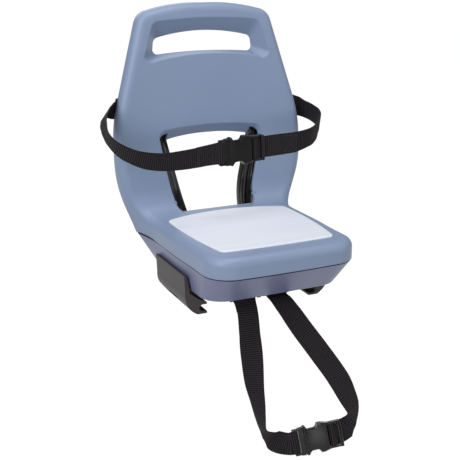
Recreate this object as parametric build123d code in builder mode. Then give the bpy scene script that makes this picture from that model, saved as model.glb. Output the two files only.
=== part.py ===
from build123d import *
import os
from math import cos, radians, sin, sqrt

os.makedirs("parts", exist_ok=True)

# Driving dimensions in millimetres. Seen from the front, +X is to the right, +Y is towards
# the back and +Z is up. The origin lies on the face that rests on the luggage carrier.
gap = 0.3                     # clearance between neighbouring pieces
wall = 4.0                    # skin of the seat moulding
tray_wall = 3.0               # skin of the tray
base_z = 62.0                 # parting line between seat and tray
deck_z = 90.0                 # seating surface
top_z = 387.5                 # crown of the backrest
tray_z = 20.0                 # underside of the tray
front_y = -136.0              # front of the seat
deck_w = 112.0                # half width of the deck
wing_w = 149.0                # half width of the backrest at its widest
wing_z = 187.0                # height of the widest place
back_y = 111.4                # backrest face at deck level, in the middle
lean = 0.08                   # rake of the backrest face
thick = 20.0                  # depth of the backrest rim
bowl_r = 40.0                 # hollow between deck and backrest
turn_y = -780.0               # centre of the backrest's curve in plan
rim_r = 12.0                  # rounding of the rim
crown_w = 103.0               # half width of the backrest near its crown
pad_corner = 10.0             # corners of the seat pad
web_w = 30.0                  # width of the webbing
web_t = 1.6                   # thickness of the webbing
tongue_bar = -29.5            # web bar of a buckle tongue, from the buckle's middle
ladder_bar = 21.5             # web bar of a buckle socket
plate_hole = web_w / 2 + 4.5  # screw of an anchor plate, above and below the web
rail_x = 85.5                 # carrier rail, distance from the middle
rail_z = -5.5                 # carrier rail, height
rail_r = 5.0                  # carrier rail, radius
root2 = sqrt(2.0)
screw_spots = [(60, -80), (80, 72)]
bar_y = -70.0                 # bar of the lower strap's bracket
bar_z = 12.0
bracket_spots = [(-50, bar_y + 12), (22, bar_y + 12)]

seat_diag = Plane(origin=(0, 0, 0), x_dir=(1, 0, 0), z_dir=(0, -1, 1)).offset(-400)
back_face = Plane(origin=(0, back_y, deck_z), x_dir=(1, 0, 0), z_dir=(0, -1, lean))

strut_face = Plane(origin=(68, 120.4, 140.5), x_dir=(0.9698, 0, -0.2313), z_dir=(0.0175, -0.9943, 0.0733))
strut_screws = [(6.2, 38), (6.2, -38)]
strut_low = -58.0
strut_high = 60.0
left_strut_face = Plane(origin=(-68, 120.4, 140.5), x_dir=(0.9698, 0, 0.2313), z_dir=(-0.0175, -0.9943, 0.0733))
anchor_spot = (112.0, 136.58, 240.0)
anchor_face = Plane(origin=anchor_spot, x_dir=(0.9926, -0.1213, 0), z_dir=(0.121, 0.990, -0.079))
left_anchor_face = Plane(origin=(-anchor_spot[0], anchor_spot[1], anchor_spot[2]), x_dir=(0.9926, 0.1213, 0),
                         z_dir=(-0.121, 0.990, -0.079))
waist_frame = Plane(origin=(-1.5, 15, 193.65), x_dir=(0.9986, 0, 0.0526), z_dir=(0, -1, 0))
lower_frame = Plane(origin=(31.75, -157.2, -173.85), x_dir=(0.964, -0.230, 0.1365),
                    z_dir=(-0.2598, -0.9268, 0.2732))


def seat_form(inset, reach):
    """Seat moulding as a filled form of deck, legs and backrest, set in by inset.

    reach lets the form run past the open underside and the open back.
    """
    top = deck_z - inset
    face = back_y + inset
    high = 420.0
    face_high = face + lean * (high - deck_z)
    foot = base_z - reach
    rear = face + lean * (foot - deck_z) + thick - inset + reach
    with BuildPart() as form:
        with BuildSketch(Plane.YZ) as profile:
            with BuildLine():
                Polyline((-185, foot), (-185, top), (face - lean * inset, top), (face_high, high),
                         (face_high + thick - inset + reach, high), (rear, foot), (-185, foot))
            make_face()
            fillet(profile.vertices().sort_by_distance((face - lean * inset, top))[0], bowl_r + inset)
        revolve(axis=Axis((0, turn_y, 0), (0, 0, 1)), revolution_arc=20)
        mirror(about=Plane.YZ)
    with BuildPart() as deck:
        add(form.part)
        with BuildSketch(Plane.XY.offset(-50)) as plan:
            side = deck_w - inset
            with BuildLine():
                ThreePointArc((0, front_y + inset), (60, front_y + 1.2 + inset), (side - 3, front_y + 4 + inset))
                Line((side - 3, front_y + 4 + inset), (side - 3, -80))
                Spline((side - 3, -80), (side, 0), tangents=((0, 1), (0, 1)))
                Line((side, 0), (0, 0))
                mirror(about=Plane.YZ)
            make_face()
            fillet(plan.vertices().filter_by(lambda v: v.Y < -100 and abs(v.X) > 80), 38 - inset)
        extrude(amount=300, mode=Mode.INTERSECT)
    with BuildPart() as legs:
        add(form.part)
        with BuildSketch(seat_diag):
            wing = wing_w - inset
            with BuildLine():
                Line((0, -60), (side, -60))
                Line((side, -60), (side, 126 / root2))
                Spline((side, 126 / root2), (wing, 293 / root2), tangents=((0, 1), (0, 1)))
                Line((wing, 293 / root2), (wing, 420 / root2))
                Line((wing, 420 / root2), (0, 420 / root2))
                mirror(about=Plane.YZ)
            make_face()
        extrude(amount=800, mode=Mode.INTERSECT)
        with BuildSketch(Plane.YZ.offset(-300)):
            with BuildLine():
                Polyline((0, -50), (0, wing_z), (260, wing_z), (260, -50), (0, -50))
            make_face()
        extrude(amount=600, mode=Mode.INTERSECT)
    with BuildPart() as upper:
        add(form.part)
        with BuildSketch(Plane.XZ.offset(-250)) as outline:
            with BuildLine():
                Line((0, wing_z), (wing, wing_z))
                taper = (wing_w - 8 - crown_w) / 128
                Spline((wing, wing_z), (wing - 8, 246), tangents=((0, 1), (-taper, 1)))
                Line((wing - 8, 246), (crown_w - inset, 374 - inset))
                ThreePointArc((crown_w - inset, 374 - inset), (52, 385.2 - inset), (0, top_z - inset))
                mirror(about=Plane.YZ)
            make_face()
            fillet(outline.vertices().filter_by(lambda v: v.Y > 350 and abs(v.X) > 80), 24 - 0.7 * inset)
        extrude(amount=500, mode=Mode.INTERSECT)
    with BuildPart() as whole:
        add(deck.part)
        add(legs.part)
        add(upper.part)
        rim = []
        for edge in whole.edges():
            mid = edge.position_at(0.5)
            face_here = back_y + lean * (mid.Z - deck_z) - mid.X ** 2 / 1790 + inset
            on_front = mid.Z > top - 1 and mid.Y < face_here + 3
            inside = abs(mid.X) < 1 and mid.Y > front_y + inset + 8 and mid.Z < 370
            if on_front and not inside:
                rim.append(edge)
        fillet(rim, rim_r - inset)
    return whole.part


def back_opening(grow, rise, widen, foot, low_r, high_r):
    """Outline of the lower back opening; rise and widen make its flare."""
    out = grow + widen
    up = grow + rise
    with BuildSketch() as outline:
        with BuildLine():
            Line((0, foot), (57 + out, foot))
            ThreePointArc((57 + out, foot), (70 + out, 48 + up / 2), (81 + out, 101 + up))
            ThreePointArc((81 + out, 101 + up), (44, 108.4 + up), (0, 111 + up))
            mirror(about=Plane.YZ)
        make_face()
        fillet(outline.vertices().filter_by(lambda v: v.Y < foot + 5 and abs(v.X) > 30), low_r)
        fillet(outline.vertices().filter_by(lambda v: v.Y > 95 and abs(v.X) > 70), high_r)
    return outline.sketch


def handle_outline(f, grow):
    """Handle opening between its rear outline (f = 0) and its front outline (f = 1)."""
    low_x = 80 + 21.5 * f + grow
    up_x = 77 + 7 * f + grow
    low_h = 227.3 - 13.0 * f - grow
    up_h = 250.4 + 23.8 * f + grow
    with BuildSketch() as outline:
        with BuildLine():
            ThreePointArc((-low_x, low_h), (0, 231.3 - 5.6 * f - grow), (low_x, low_h))
            Line((low_x, low_h), (up_x, up_h))
            ThreePointArc((up_x, up_h), (0, 260.4 + 22.5 * f + grow), (-up_x, up_h))
            Line((-up_x, up_h), (-low_x, low_h))
        make_face()
        fillet(outline.vertices().group_by(Axis.Y)[0], 7 + 2 * f + grow)
        fillet(outline.vertices().group_by(Axis.Y)[-1], 9 + 5 * f + grow)
    return outline.sketch


def pad_outline(grow, corner):
    """Plan of the seat pad."""
    with BuildSketch() as outline:
        with BuildLine():
            ThreePointArc((0, -106 - grow), (42, -105.6 - grow), (83 + grow, -104 - grow))
            ThreePointArc((83 + grow, -104 - grow), (94 + grow, -16), (94 + grow, 60 + grow))
            ThreePointArc((94 + grow, 60 + grow), (47, 76 + grow), (0, 81 + grow))
            mirror(about=Plane.YZ)
        make_face()
        fillet(outline.vertices().filter_by(lambda v: abs(v.X) > 60), corner + grow)
    return outline.sketch


def tray_outline(u, inset):
    """Plan of the tray from its underside (u = 0) to the parting line (u = 1)."""
    front = -99 - 36.6 * u + inset
    nose = 1.2 * (1 - u) + 4.0 * u
    near = 101.0 + 7.6 * u - inset
    waist = 101.5 + 10.1 * u - inset
    flank = 100.0 + 13.6 * u - inset
    heel = 96.0 + 25.2 * u - inset
    heel_y = 104 + 15 * u - inset
    rear = 112 + 16.6 * u - inset
    with BuildSketch() as outline:
        with BuildLine():
            ThreePointArc((0, front), (0.55 * near, front + nose * 0.3), (near, front + nose))
            Line((near, front + nose), (near, -60 - 20 * u))
            Spline((near, -60 - 20 * u), (waist, 0), (waist, 58), (flank, 80), (heel, heel_y),
                   tangents=((0, 1), (-0.2 + 0.45 * u, 1)))
            ThreePointArc((heel, heel_y), (heel / 2, heel_y + 0.76 * (rear - heel_y)), (0, rear))
            mirror(about=Plane.YZ)
        make_face()
        fillet(outline.vertices().filter_by(lambda v: v.Y < -90 and abs(v.X) > 60), 34 + 4 * u - inset)
        fillet(outline.vertices().filter_by(lambda v: v.Y > 90 and abs(v.X) > 60), 14 - 9 * u)
    return outline.sketch


def tray_form(low, high, inset):
    """Tray as a filled form between two heights, set in by inset."""
    with BuildPart() as form:
        for height in (low, high):
            with BuildSketch(Plane.XY.offset(height)):
                add(tray_outline((height - tray_z) / (base_z - 0.8 - tray_z), inset))
        loft(ruled=True)
    return form.part


def web_sections(path):
    """Planes across a webbing path of (centre, width direction), smoothed between its stations."""
    spots = [Vector(*spot) for spot, across in path]
    widths = [Vector(*across).normalized() for spot, across in path]
    fine = []
    for i in range(len(path) - 1):
        step = spots[i + 1] - spots[i]
        before = spots[i - 1] if i else spots[i] - step
        after = spots[i + 2] if i + 2 < len(path) else spots[i + 1] + step
        start = (step.normalized() + (spots[i] - before).normalized()) * (step.length / 2)
        end = (step.normalized() + (after - spots[i + 1]).normalized()) * (step.length / 2)
        parts = max(1, round(step.length / 9))
        for k in range(parts):
            t = k / parts
            at = (spots[i] * (2 * t ** 3 - 3 * t ** 2 + 1) + start * (t ** 3 - 2 * t ** 2 + t)
                  + spots[i + 1] * (3 * t ** 2 - 2 * t ** 3) + end * (t ** 3 - t ** 2))
            fine.append((at, widths[i] * (1 - t) + widths[i + 1] * t))
    fine.append((spots[-1], widths[-1]))
    planes = []
    for i, (spot, width) in enumerate(fine):
        along = (fine[min(i + 1, len(fine) - 1)][0] - fine[max(i - 1, 0)][0]).normalized()
        planes.append(Plane(origin=spot, x_dir=width - along * width.dot(along), z_dir=along))
    return planes


# Openings and hollows of the seat moulding, first as plain solids.
with BuildPart() as handle_cut:
    for depth, f in ((-16, 0.0), (14, 1.5)):
        with BuildSketch(back_face.offset(depth)):
            add(handle_outline(f, 0))
    loft(ruled=True)
    extrude(handle_cut.faces().sort_by(Axis.Y)[-1], amount=20)

with BuildPart() as handle_ring:
    for depth, f in ((-16, 0.0), (14, 1.5)):
        with BuildSketch(back_face.offset(depth)):
            add(handle_outline(f, wall))
    loft(ruled=True)
    extrude(handle_ring.faces().sort_by(Axis.Y)[-1], amount=20)

with BuildPart() as back_cut:
    for depth, rise, widen in ((-12, 0, 0), (12, 26, 4)):
        with BuildSketch(back_face.offset(depth)):
            add(back_opening(0, rise, widen, -2, 16, 12))
    loft(ruled=True)
    extrude(back_cut.faces().sort_by(Axis.Y)[-1], amount=30)
    extrude(back_cut.faces().sort_by(Axis.Y)[0], amount=40)

with BuildPart() as back_lip:
    for depth, rise, widen in ((-12, 0, 0), (12, 26, 4)):
        with BuildSketch(back_face.offset(depth)):
            add(back_opening(wall, rise, widen, 40, 2, 14))
    loft(ruled=True)
    extrude(back_lip.faces().sort_by(Axis.Y)[-1], amount=30)
    with BuildSketch(Plane.XY.offset(178)) as lip_plan:
        with BuildLine():
            Polyline((0, 90), (88, 90), (88, 123.4), (67, 123.4), (67, 180), (0, 180), (0, 90))
        make_face()
        mirror(about=Plane.YZ)
    extrude(amount=80, mode=Mode.INTERSECT)

seat_outer = seat_form(0, 0)
seat_inner = seat_form(wall, 30)

with BuildPart() as ringed_hollow:
    add(seat_inner)
    add(handle_ring.part, mode=Mode.SUBTRACT)
hollow_form = ringed_hollow.part.solids()[0].fix()

with BuildPart() as seat_hollow:
    add(hollow_form)
    add(back_lip.part, mode=Mode.SUBTRACT)
    with BuildSketch(Plane.XY.offset(82)) as pad_bed:
        add(pad_outline(3, pad_corner - 1))
    extrude(amount=10, mode=Mode.SUBTRACT)
    with BuildSketch(Plane.XZ) as anchor_bosses:
        with Locations((112, 240), (-112, 240)):
            RectangleRounded(28, web_w + 24, 4)
    extrude(amount=-300, mode=Mode.SUBTRACT)
    with BuildSketch(Plane.XY.offset(base_z)) as screw_bosses:
        for x, y in screw_spots:
            with Locations((x, y), (-x, y)):
                Circle(6.5)
    extrude(amount=40, mode=Mode.SUBTRACT)
    with BuildSketch(Plane.XY.offset(70)) as deck_ribs:
        with Locations((36, -10), (-36, -10)):
            Rectangle(2.5, 180)
        with Locations((0, -50), (0, 20)):
            Rectangle(180, 2.5)
    extrude(amount=30, mode=Mode.SUBTRACT)
    with BuildSketch(back_face.offset(-16)) as back_ribs:
        with Locations((38, 165), (-38, 165)):
            Rectangle(2.5, 120)
        with Locations((0, 172)):
            Rectangle(230, 2.5)
    extrude(amount=20, mode=Mode.SUBTRACT)

with BuildPart() as seat_skin:
    add(seat_outer)
    add(seat_hollow.part.solids()[0].fix(), mode=Mode.SUBTRACT)

with BuildPart() as seat_open:
    add(seat_skin.part.solids()[0].fix())
    add(handle_cut.part, mode=Mode.SUBTRACT)

with BuildPart() as seat_cut:
    add(seat_open.part.solids()[0].fix())
    add(back_cut.part, mode=Mode.SUBTRACT)

with BuildPart() as seat_shell:
    add(seat_cut.part.solids().sort_by(SortBy.VOLUME)[-1].fix())
    with BuildSketch(Plane.YZ.offset(-60)) as deck_edge:
        with BuildLine():
            Polyline((58, deck_z - wall), (58, deck_z), (104, deck_z), (104, base_z + 1), (101, base_z + 1),
                     (101, deck_z - wall), (58, deck_z - wall))
        make_face()
        fillet(deck_edge.vertices().sort_by_distance((104, deck_z))[0], 2.5)
    extrude(amount=120)
    with BuildSketch(Plane.XY.offset(deck_z - 2.5)) as recess:
        add(pad_outline(0, pad_corner))
    extrude(amount=20, mode=Mode.SUBTRACT)
    with BuildSketch(Plane.XY.offset(base_z - 1)) as screw_holes:
        for x, y in screw_spots:
            with Locations((x, y), (-x, y)):
                Circle(2.3)
    extrude(amount=17, mode=Mode.SUBTRACT)
    for face, side in ((strut_face, 1), (left_strut_face, -1)):
        for (x, y), post in zip(strut_screws, (6.2, 15.0)):
            with BuildSketch(face.offset(gap)):
                with Locations((side * x, y)):
                    Circle(3.5)
            extrude(amount=post)
            with BuildSketch(face.offset(gap)):
                with Locations((side * x, y)):
                    Circle(1.75)
            extrude(amount=5.4, mode=Mode.SUBTRACT)
    for face in (anchor_face, left_anchor_face):
        with BuildSketch(face.offset(2)):
            with Locations((0, plate_hole), (0, -plate_hole)):
                Circle(2.2)
        extrude(amount=-13, mode=Mode.SUBTRACT)
seat_shell.part.label = "seat_shell"
export_step(seat_shell.part, "parts/seat_shell.step")

with BuildPart() as seat_pad:
    with BuildSketch(Plane.XY.offset(deck_z - 2.5 + gap)):
        add(pad_outline(-gap, pad_corner))
    extrude(amount=4.4)
    fillet(seat_pad.edges().group_by(Axis.Z)[-1], 2.2)
seat_pad.part.label = "seat_pad"
export_step(seat_pad.part, "parts/seat_pad.step")

tray_outer = tray_form(tray_z, base_z - 0.8, 0)
tray_inner = tray_form(tray_z + tray_wall, base_z + 4, tray_wall)

with BuildPart() as base_tray:
    add(tray_outer)
    fillet(base_tray.edges().group_by(Axis.Z)[0], 4)
    add(tray_inner, mode=Mode.SUBTRACT)
    with BuildSketch(Plane.XY.offset(tray_z + 1)):
        for x, y in screw_spots:
            with Locations((x, y), (-x, y)):
                Circle(7)
    extrude(amount=base_z - 0.8 - tray_z - 1)
    with BuildSketch(Plane.XY.offset(tray_z + 1)):
        with Locations((40, 0), (-40, 0)):
            Rectangle(2.5, 190)
        with Locations((0, -45), (0, 65)):
            Rectangle(190, 2.5)
    extrude(amount=18)
    with BuildSketch(Plane.XY.offset(tray_z - 1)):
        for x, y in screw_spots:
            with Locations((x, y), (-x, y)):
                Circle(4.6)
    extrude(amount=26, mode=Mode.SUBTRACT)
    with BuildSketch(Plane.XY.offset(tray_z - 1)):
        for x, y in screw_spots:
            with Locations((x, y), (-x, y)):
                Circle(2.4)
        with Locations((66, -33.5), (-66, -33.5), (66, 53.5), (-66, 53.5), *bracket_spots):
            Circle(2.0)
    extrude(amount=60, mode=Mode.SUBTRACT)
    with BuildSketch(Plane.XY.offset(base_z - 6)):
        add(tray_outline(0.87, tray_wall - 0.4))
        add(tray_outline(0.87, wall + 3.4), mode=Mode.SUBTRACT)
    extrude(amount=5)
base_tray.part.label = "base_tray"
export_step(base_tray.part, "parts/base_tray.step")

with BuildPart() as right_strut:
    with BuildSketch(strut_face):
        with Locations((0, (strut_low + strut_high) / 2)):
            RectangleRounded(24, strut_high - strut_low, 10)
    extrude(amount=-14)
    fillet(right_strut.faces().sort_by(Axis(strut_face.origin, strut_face.z_dir))[-1].edges(), 1.5)
    with BuildSketch(strut_face.offset(-4)):
        with Locations((0, (strut_low + strut_high) / 2)):
            RectangleRounded(19, strut_high - strut_low - 5, 7.5)
    extrude(amount=-20, mode=Mode.SUBTRACT)
    with BuildSketch(strut_face):
        with Locations((0, (strut_low + strut_high) / 2)):
            RectangleRounded(7, strut_high - strut_low - 17, 3.4)
    extrude(amount=-1.6, mode=Mode.SUBTRACT)
    with BuildSketch(strut_face.offset(1)):
        with Locations(*strut_screws):
            Circle(1.75)
    extrude(amount=-10, mode=Mode.SUBTRACT)
right_strut.part.label = "right_strut"
export_step(right_strut.part, "parts/right_strut.step")

with BuildPart() as left_strut:
    mirror(right_strut.part, about=Plane.YZ)
left_strut.part.label = "left_strut"
export_step(left_strut.part, "parts/left_strut.step")

for name, (x, y) in zip(("upper", "lower"), strut_screws):
    with BuildPart() as right_screw:
        with BuildSketch(strut_face.offset(-4 - gap)):
            with Locations((x, y)):
                Circle(3.1)
        extrude(amount=-2.4)
        with BuildSketch(strut_face.offset(-5)):
            with Locations((x, y)):
                Circle(1.45)
        extrude(amount=9.8)
        with BuildSketch(strut_face.offset(-4 - gap - 2.4)):
            with Locations((x, y)):
                Rectangle(3.8, 0.8)
                Rectangle(0.8, 3.8)
        extrude(amount=1.3, mode=Mode.SUBTRACT)
    right_screw.part.label = "right_strut_screw_" + name
    export_step(right_screw.part, "parts/right_strut_screw_" + name + ".step")
    with BuildPart() as left_screw:
        mirror(right_screw.part, about=Plane.YZ)
    left_screw.part.label = "left_strut_screw_" + name
    export_step(left_screw.part, "parts/left_strut_screw_" + name + ".step")

for name, (x, y) in zip(("front", "rear"), screw_spots):
    with BuildPart() as right_screw:
        with BuildSketch(Plane.XY.offset(42.2)):
            with Locations((x, y)):
                Circle(4.0)
        extrude(amount=2.4)
        with BuildSketch(Plane.XY.offset(44)):
            with Locations((x, y)):
                Circle(2.0)
        extrude(amount=30)
        with BuildSketch(Plane.XY.offset(42.2)):
            with Locations((x, y)):
                Rectangle(5, 1)
                Rectangle(1, 5)
        extrude(amount=1.3, mode=Mode.SUBTRACT)
    right_screw.part.label = "base_screw_" + name + "_right"
    export_step(right_screw.part, "parts/base_screw_" + name + "_right.step")
    with BuildPart() as left_screw:
        mirror(right_screw.part, about=Plane.YZ)
    left_screw.part.label = "base_screw_" + name + "_left"
    export_step(left_screw.part, "parts/base_screw_" + name + "_left.step")

# Carrier clamp: a housing under the tray, two jaws on arms and a spindle that draws them together.
spindle_y = 10.0
spindle_z = 9.5
arm_ys = (-20.0, 40.0)
housing_spots = [(66, -33.5), (66, 53.5)]

with BuildPart() as clamp_housing:
    with BuildSketch(Plane.XY):
        with Locations((0, 10)):
            RectangleRounded(152, 100, 8)
    extrude(amount=tray_z - gap)
    chamfer(clamp_housing.edges().group_by(Axis.Z)[0], 1)
    with BuildSketch(Plane.YZ.offset(27)):
        for y in arm_ys:
            with Locations((y, 13)):
                Rectangle(14.6, 8.6)
    extrude(amount=60, mode=Mode.SUBTRACT)
    with BuildSketch(Plane.YZ.offset(-27)):
        for y in arm_ys:
            with Locations((y, 13)):
                Rectangle(14.6, 8.6)
    extrude(amount=-60, mode=Mode.SUBTRACT)
    with BuildSketch(Plane.YZ.offset(-80)):
        with Locations((spindle_y, spindle_z)):
            Circle(4.4)
    extrude(amount=160, mode=Mode.SUBTRACT)
    with BuildSketch(Plane.XY.offset(2.2)):
        with Locations((0, spindle_y)):
            Rectangle(8.8, 14.8)
        with Locations((0, -20), (0, 40)):
            RectangleRounded(46, 26, 3)
    extrude(amount=20, mode=Mode.SUBTRACT)
    with BuildSketch(Plane.XY.offset(-1)):
        for x, y in housing_spots:
            with Locations((x, y), (-x, y)):
                Circle(4)
    extrude(amount=9, mode=Mode.SUBTRACT)
    with BuildSketch(Plane.XY.offset(-1)):
        for x, y in housing_spots:
            with Locations((x, y), (-x, y)):
                Circle(2.0)
    extrude(amount=30, mode=Mode.SUBTRACT)
clamp_housing.part.label = "clamp_housing"
export_step(clamp_housing.part, "parts/clamp_housing.step")

for name, (x, y) in zip(("front", "rear"), housing_spots):
    with BuildPart() as right_screw:
        with BuildSketch(Plane.XY.offset(5.3)):
            with Locations((x, y)):
                Circle(3.6)
        extrude(amount=2.4)
        with BuildSketch(Plane.XY.offset(7)):
            with Locations((x, y)):
                Circle(1.7)
        extrude(amount=18)
        with BuildSketch(Plane.XY.offset(5.3)):
            with Locations((x, y)):
                Rectangle(4.4, 0.9)
                Rectangle(0.9, 4.4)
        extrude(amount=1.3, mode=Mode.SUBTRACT)
    right_screw.part.label = "housing_screw_" + name + "_right"
    export_step(right_screw.part, "parts/housing_screw_" + name + "_right.step")
    with BuildPart() as left_screw:
        mirror(right_screw.part, about=Plane.YZ)
    left_screw.part.label = "housing_screw_" + name + "_left"
    export_step(left_screw.part, "parts/housing_screw_" + name + "_left.step")

groove_r = rail_r + 0.15
with BuildPart() as jaw_plain:
    with BuildSketch(Plane.XZ.offset(45)) as jaw_section:
        with BuildLine():
            Polyline((79.5, 2), (91, 8), (104.5, 18.5), (105.2, 30), (108.4, 44), (112.5, 44), (111.3, 18))
            ThreePointArc((111.3, 18), (106.5, -2), (93, -13.7))
            Polyline((93, -13.7), (79.5, -13.7), (79.5, rail_z - groove_r), (rail_x, rail_z - groove_r))
            ThreePointArc((rail_x, rail_z - groove_r), (rail_x + groove_r, rail_z), (rail_x, rail_z + groove_r))
            Polyline((rail_x, rail_z + groove_r), (79.5, rail_z + groove_r), (79.5, 2))
        make_face()
    extrude(amount=-106)
    with BuildSketch(Plane.XY.offset(1)):
        with Locations((90, 10)):
            Rectangle(21, 74)
    extrude(amount=17)
    with BuildSketch(Plane.YZ.offset(30)):
        for y in arm_ys:
            with Locations((y, 13)):
                Rectangle(14, 8)
    extrude(amount=62)
    with BuildSketch(Plane.YZ.offset(70)):
        with BuildLine():
            Polyline((41, -20), (41, -4), (65, 3), (72, 4), (72, -20), (41, -20))
        make_face()
    extrude(amount=60, mode=Mode.SUBTRACT)
    with BuildSketch(Plane.YZ.offset(97)):
        with Locations((8.5, 0)):
            SlotOverall(33, 4.4)
    extrude(amount=30, mode=Mode.SUBTRACT)
    with BuildSketch(Plane.YZ.offset(78)):
        with Locations((spindle_y, spindle_z)):
            Circle(4.4)
    extrude(amount=26.5, mode=Mode.SUBTRACT)
    with BuildSketch(Plane.YZ.offset(78)):
        with Locations((spindle_y, spindle_z)):
            RegularPolygon(6.85, 6, major_radius=False)
    extrude(amount=8.6, mode=Mode.SUBTRACT)

with BuildPart() as right_jaw:
    add(jaw_plain.part)
    with BuildSketch(Plane.YZ.offset(100)):
        with Locations((spindle_y, spindle_z)):
            Circle(3.4)
    extrude(amount=30, mode=Mode.SUBTRACT)
right_jaw.part.label = "right_jaw"
export_step(right_jaw.part, "parts/right_jaw.step")

with BuildPart() as left_jaw:
    mirror(jaw_plain.part, about=Plane.YZ)
left_jaw.part.label = "left_jaw"
export_step(left_jaw.part, "parts/left_jaw.step")

with BuildPart() as right_nut:
    with BuildSketch(Plane.YZ.offset(79.8)):
        with Locations((spindle_y, spindle_z)):
            RegularPolygon(6.5, 6, major_radius=False)
            Circle(4 + gap, mode=Mode.SUBTRACT)
    extrude(amount=6.5)
right_nut.part.label = "right_nut"
export_step(right_nut.part, "parts/right_nut.step")

with BuildPart() as left_nut:
    mirror(right_nut.part, about=Plane.YZ)
left_nut.part.label = "left_nut"
export_step(left_nut.part, "parts/left_nut.step")

with BuildPart() as clamp_spindle:
    with BuildSketch(Plane.YZ.offset(-99.5)):
        with Locations((spindle_y, spindle_z)):
            Circle(4)
    extrude(amount=199)
    with BuildSketch(Plane.YZ.offset(-4)):
        with Locations((spindle_y, spindle_z)):
            Circle(7)
    extrude(amount=8)
    with BuildSketch(Plane.YZ.offset(99.5)):
        with Locations((spindle_y, spindle_z)):
            RegularPolygon(2.5, 6, major_radius=False)
    extrude(amount=-6, mode=Mode.SUBTRACT)
clamp_spindle.part.label = "clamp_spindle"
export_step(clamp_spindle.part, "parts/clamp_spindle.step")

# Bracket under the front of the tray that carries both strands of the lower strap.
with BuildPart() as strap_bracket:
    with BuildSketch(Plane.XY.offset(17.3)):
        with Locations((-14, bar_y + 4)):
            RectangleRounded(88, 28, 3)
    extrude(amount=tray_z - gap - 17.3)
    for x in (-57, -16, 25):
        with BuildSketch(Plane.YZ.offset(x)) as lug:
            with BuildLine():
                Line((bar_y - 5, 17.6), (bar_y - 5, bar_z))
                ThreePointArc((bar_y - 5, bar_z), (bar_y, bar_z - 5), (bar_y + 5, bar_z))
                Polyline((bar_y + 5, bar_z), (bar_y + 5, 17.6), (bar_y - 5, 17.6))
            make_face()
        extrude(amount=4)
    with BuildSketch(Plane.YZ.offset(-57)):
        with Locations((bar_y, bar_z)):
            Circle(3)
    extrude(amount=86)
    with BuildSketch(Plane.XY.offset(10)):
        with Locations(*bracket_spots):
            Circle(2.0)
    extrude(amount=20, mode=Mode.SUBTRACT)
strap_bracket.part.label = "strap_bracket"
export_step(strap_bracket.part, "parts/strap_bracket.step")

for name, spot in zip(("left", "right"), bracket_spots):
    with BuildPart() as bracket_screw:
        with BuildSketch(Plane.XY.offset(14.6)):
            with Locations(spot):
                Circle(3.6)
        extrude(amount=2.4)
        with BuildSketch(Plane.XY.offset(16)):
            with Locations(spot):
                Circle(1.7)
        extrude(amount=9)
        with BuildSketch(Plane.XY.offset(14.6)):
            with Locations(spot):
                Rectangle(4.4, 0.9)
                Rectangle(0.9, 4.4)
        extrude(amount=1.3, mode=Mode.SUBTRACT)
    bracket_screw.part.label = "bracket_screw_" + name
    export_step(bracket_screw.part, "parts/bracket_screw_" + name + ".step")


def buckle_tongue(frame):
    """Buckle tongue on its frame: web bar, base, two spring prongs and a guide between them."""
    bar = Plane(origin=frame.from_local_coords((tongue_bar, -18, 0)), x_dir=frame.x_dir, z_dir=frame.y_dir)
    with BuildPart() as tongue:
        with BuildSketch(frame.offset(-3.5)) as base:
            with BuildLine():
                Polyline((-24, -18.5), (-18, -19), (-18, 19), (-24, 18.5), (-24, -18.5))
            make_face()
        extrude(amount=7)
        with BuildSketch(frame.offset(-2.5)):
            with Locations((tongue_bar + 2.2, 16.8), (tongue_bar + 2.2, -16.8)):
                RectangleRounded(10, 2.4, 1)
        extrude(amount=5)
        with BuildSketch(bar):
            Circle(2)
        extrude(amount=36)
        with BuildSketch(frame.offset(-2.75)) as prongs:
            with BuildLine():
                Polyline((-19, 9.5), (-19, 15.2), (2, 15.2), (9, 11.5), (9, 9.5), (-19, 9.5))
            make_face()
            mirror(about=Plane.XZ)
            with Locations((-6.5, 0)):
                Rectangle(25, 8)
        extrude(amount=5.5)
    return tongue


def buckle_socket(frame):
    """Buckle socket on its frame: hollow body with side scoops and a ladder for the webbing."""
    bar = Plane(origin=frame.from_local_coords((ladder_bar, -18, 0)), x_dir=frame.x_dir, z_dir=frame.y_dir)
    with BuildPart() as socket:
        with BuildSketch(frame.offset(-5.5)) as body:
            with BuildLine():
                Polyline((-17.7, -20), (9, -20), (16.7, -18), (16.7, 18), (9, 20), (-17.7, 20), (-17.7, -20))
            make_face()
            fillet(body.vertices().filter_by(lambda v: v.X < -10), 3)
        extrude(amount=11)
        chamfer(socket.faces().sort_by(frame_axis(frame))[-1].outer_wire().edges(), 1.6)
        with BuildSketch(frame.offset(-3.05)):
            with Locations((-3.5, 0)):
                Rectangle(29, 31)
        extrude(amount=6.1, mode=Mode.SUBTRACT)
        with BuildSketch(frame.offset(-9)):
            with Locations((-5, 20.5), (-5, -20.5)):
                Ellipse(8.5, 7.0)
        extrude(amount=18, mode=Mode.SUBTRACT)
        with BuildSketch(frame.offset(-3.5)):
            with Locations((24.5, 16.8), (24.5, -16.8)):
                RectangleRounded(22, 2.4, 1)
        extrude(amount=7)
        with BuildSketch(bar):
            Circle(2)
        extrude(amount=36)
        with BuildSketch(frame.offset(2.3)):
            with Locations((33.3, 0)):
                RectangleRounded(4.2, 36, 1.5)
        extrude(amount=3)
    return socket


def frame_axis(frame):
    """Axis through the frame's origin along its front normal."""
    return Axis(frame.origin, frame.z_dir)


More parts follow.
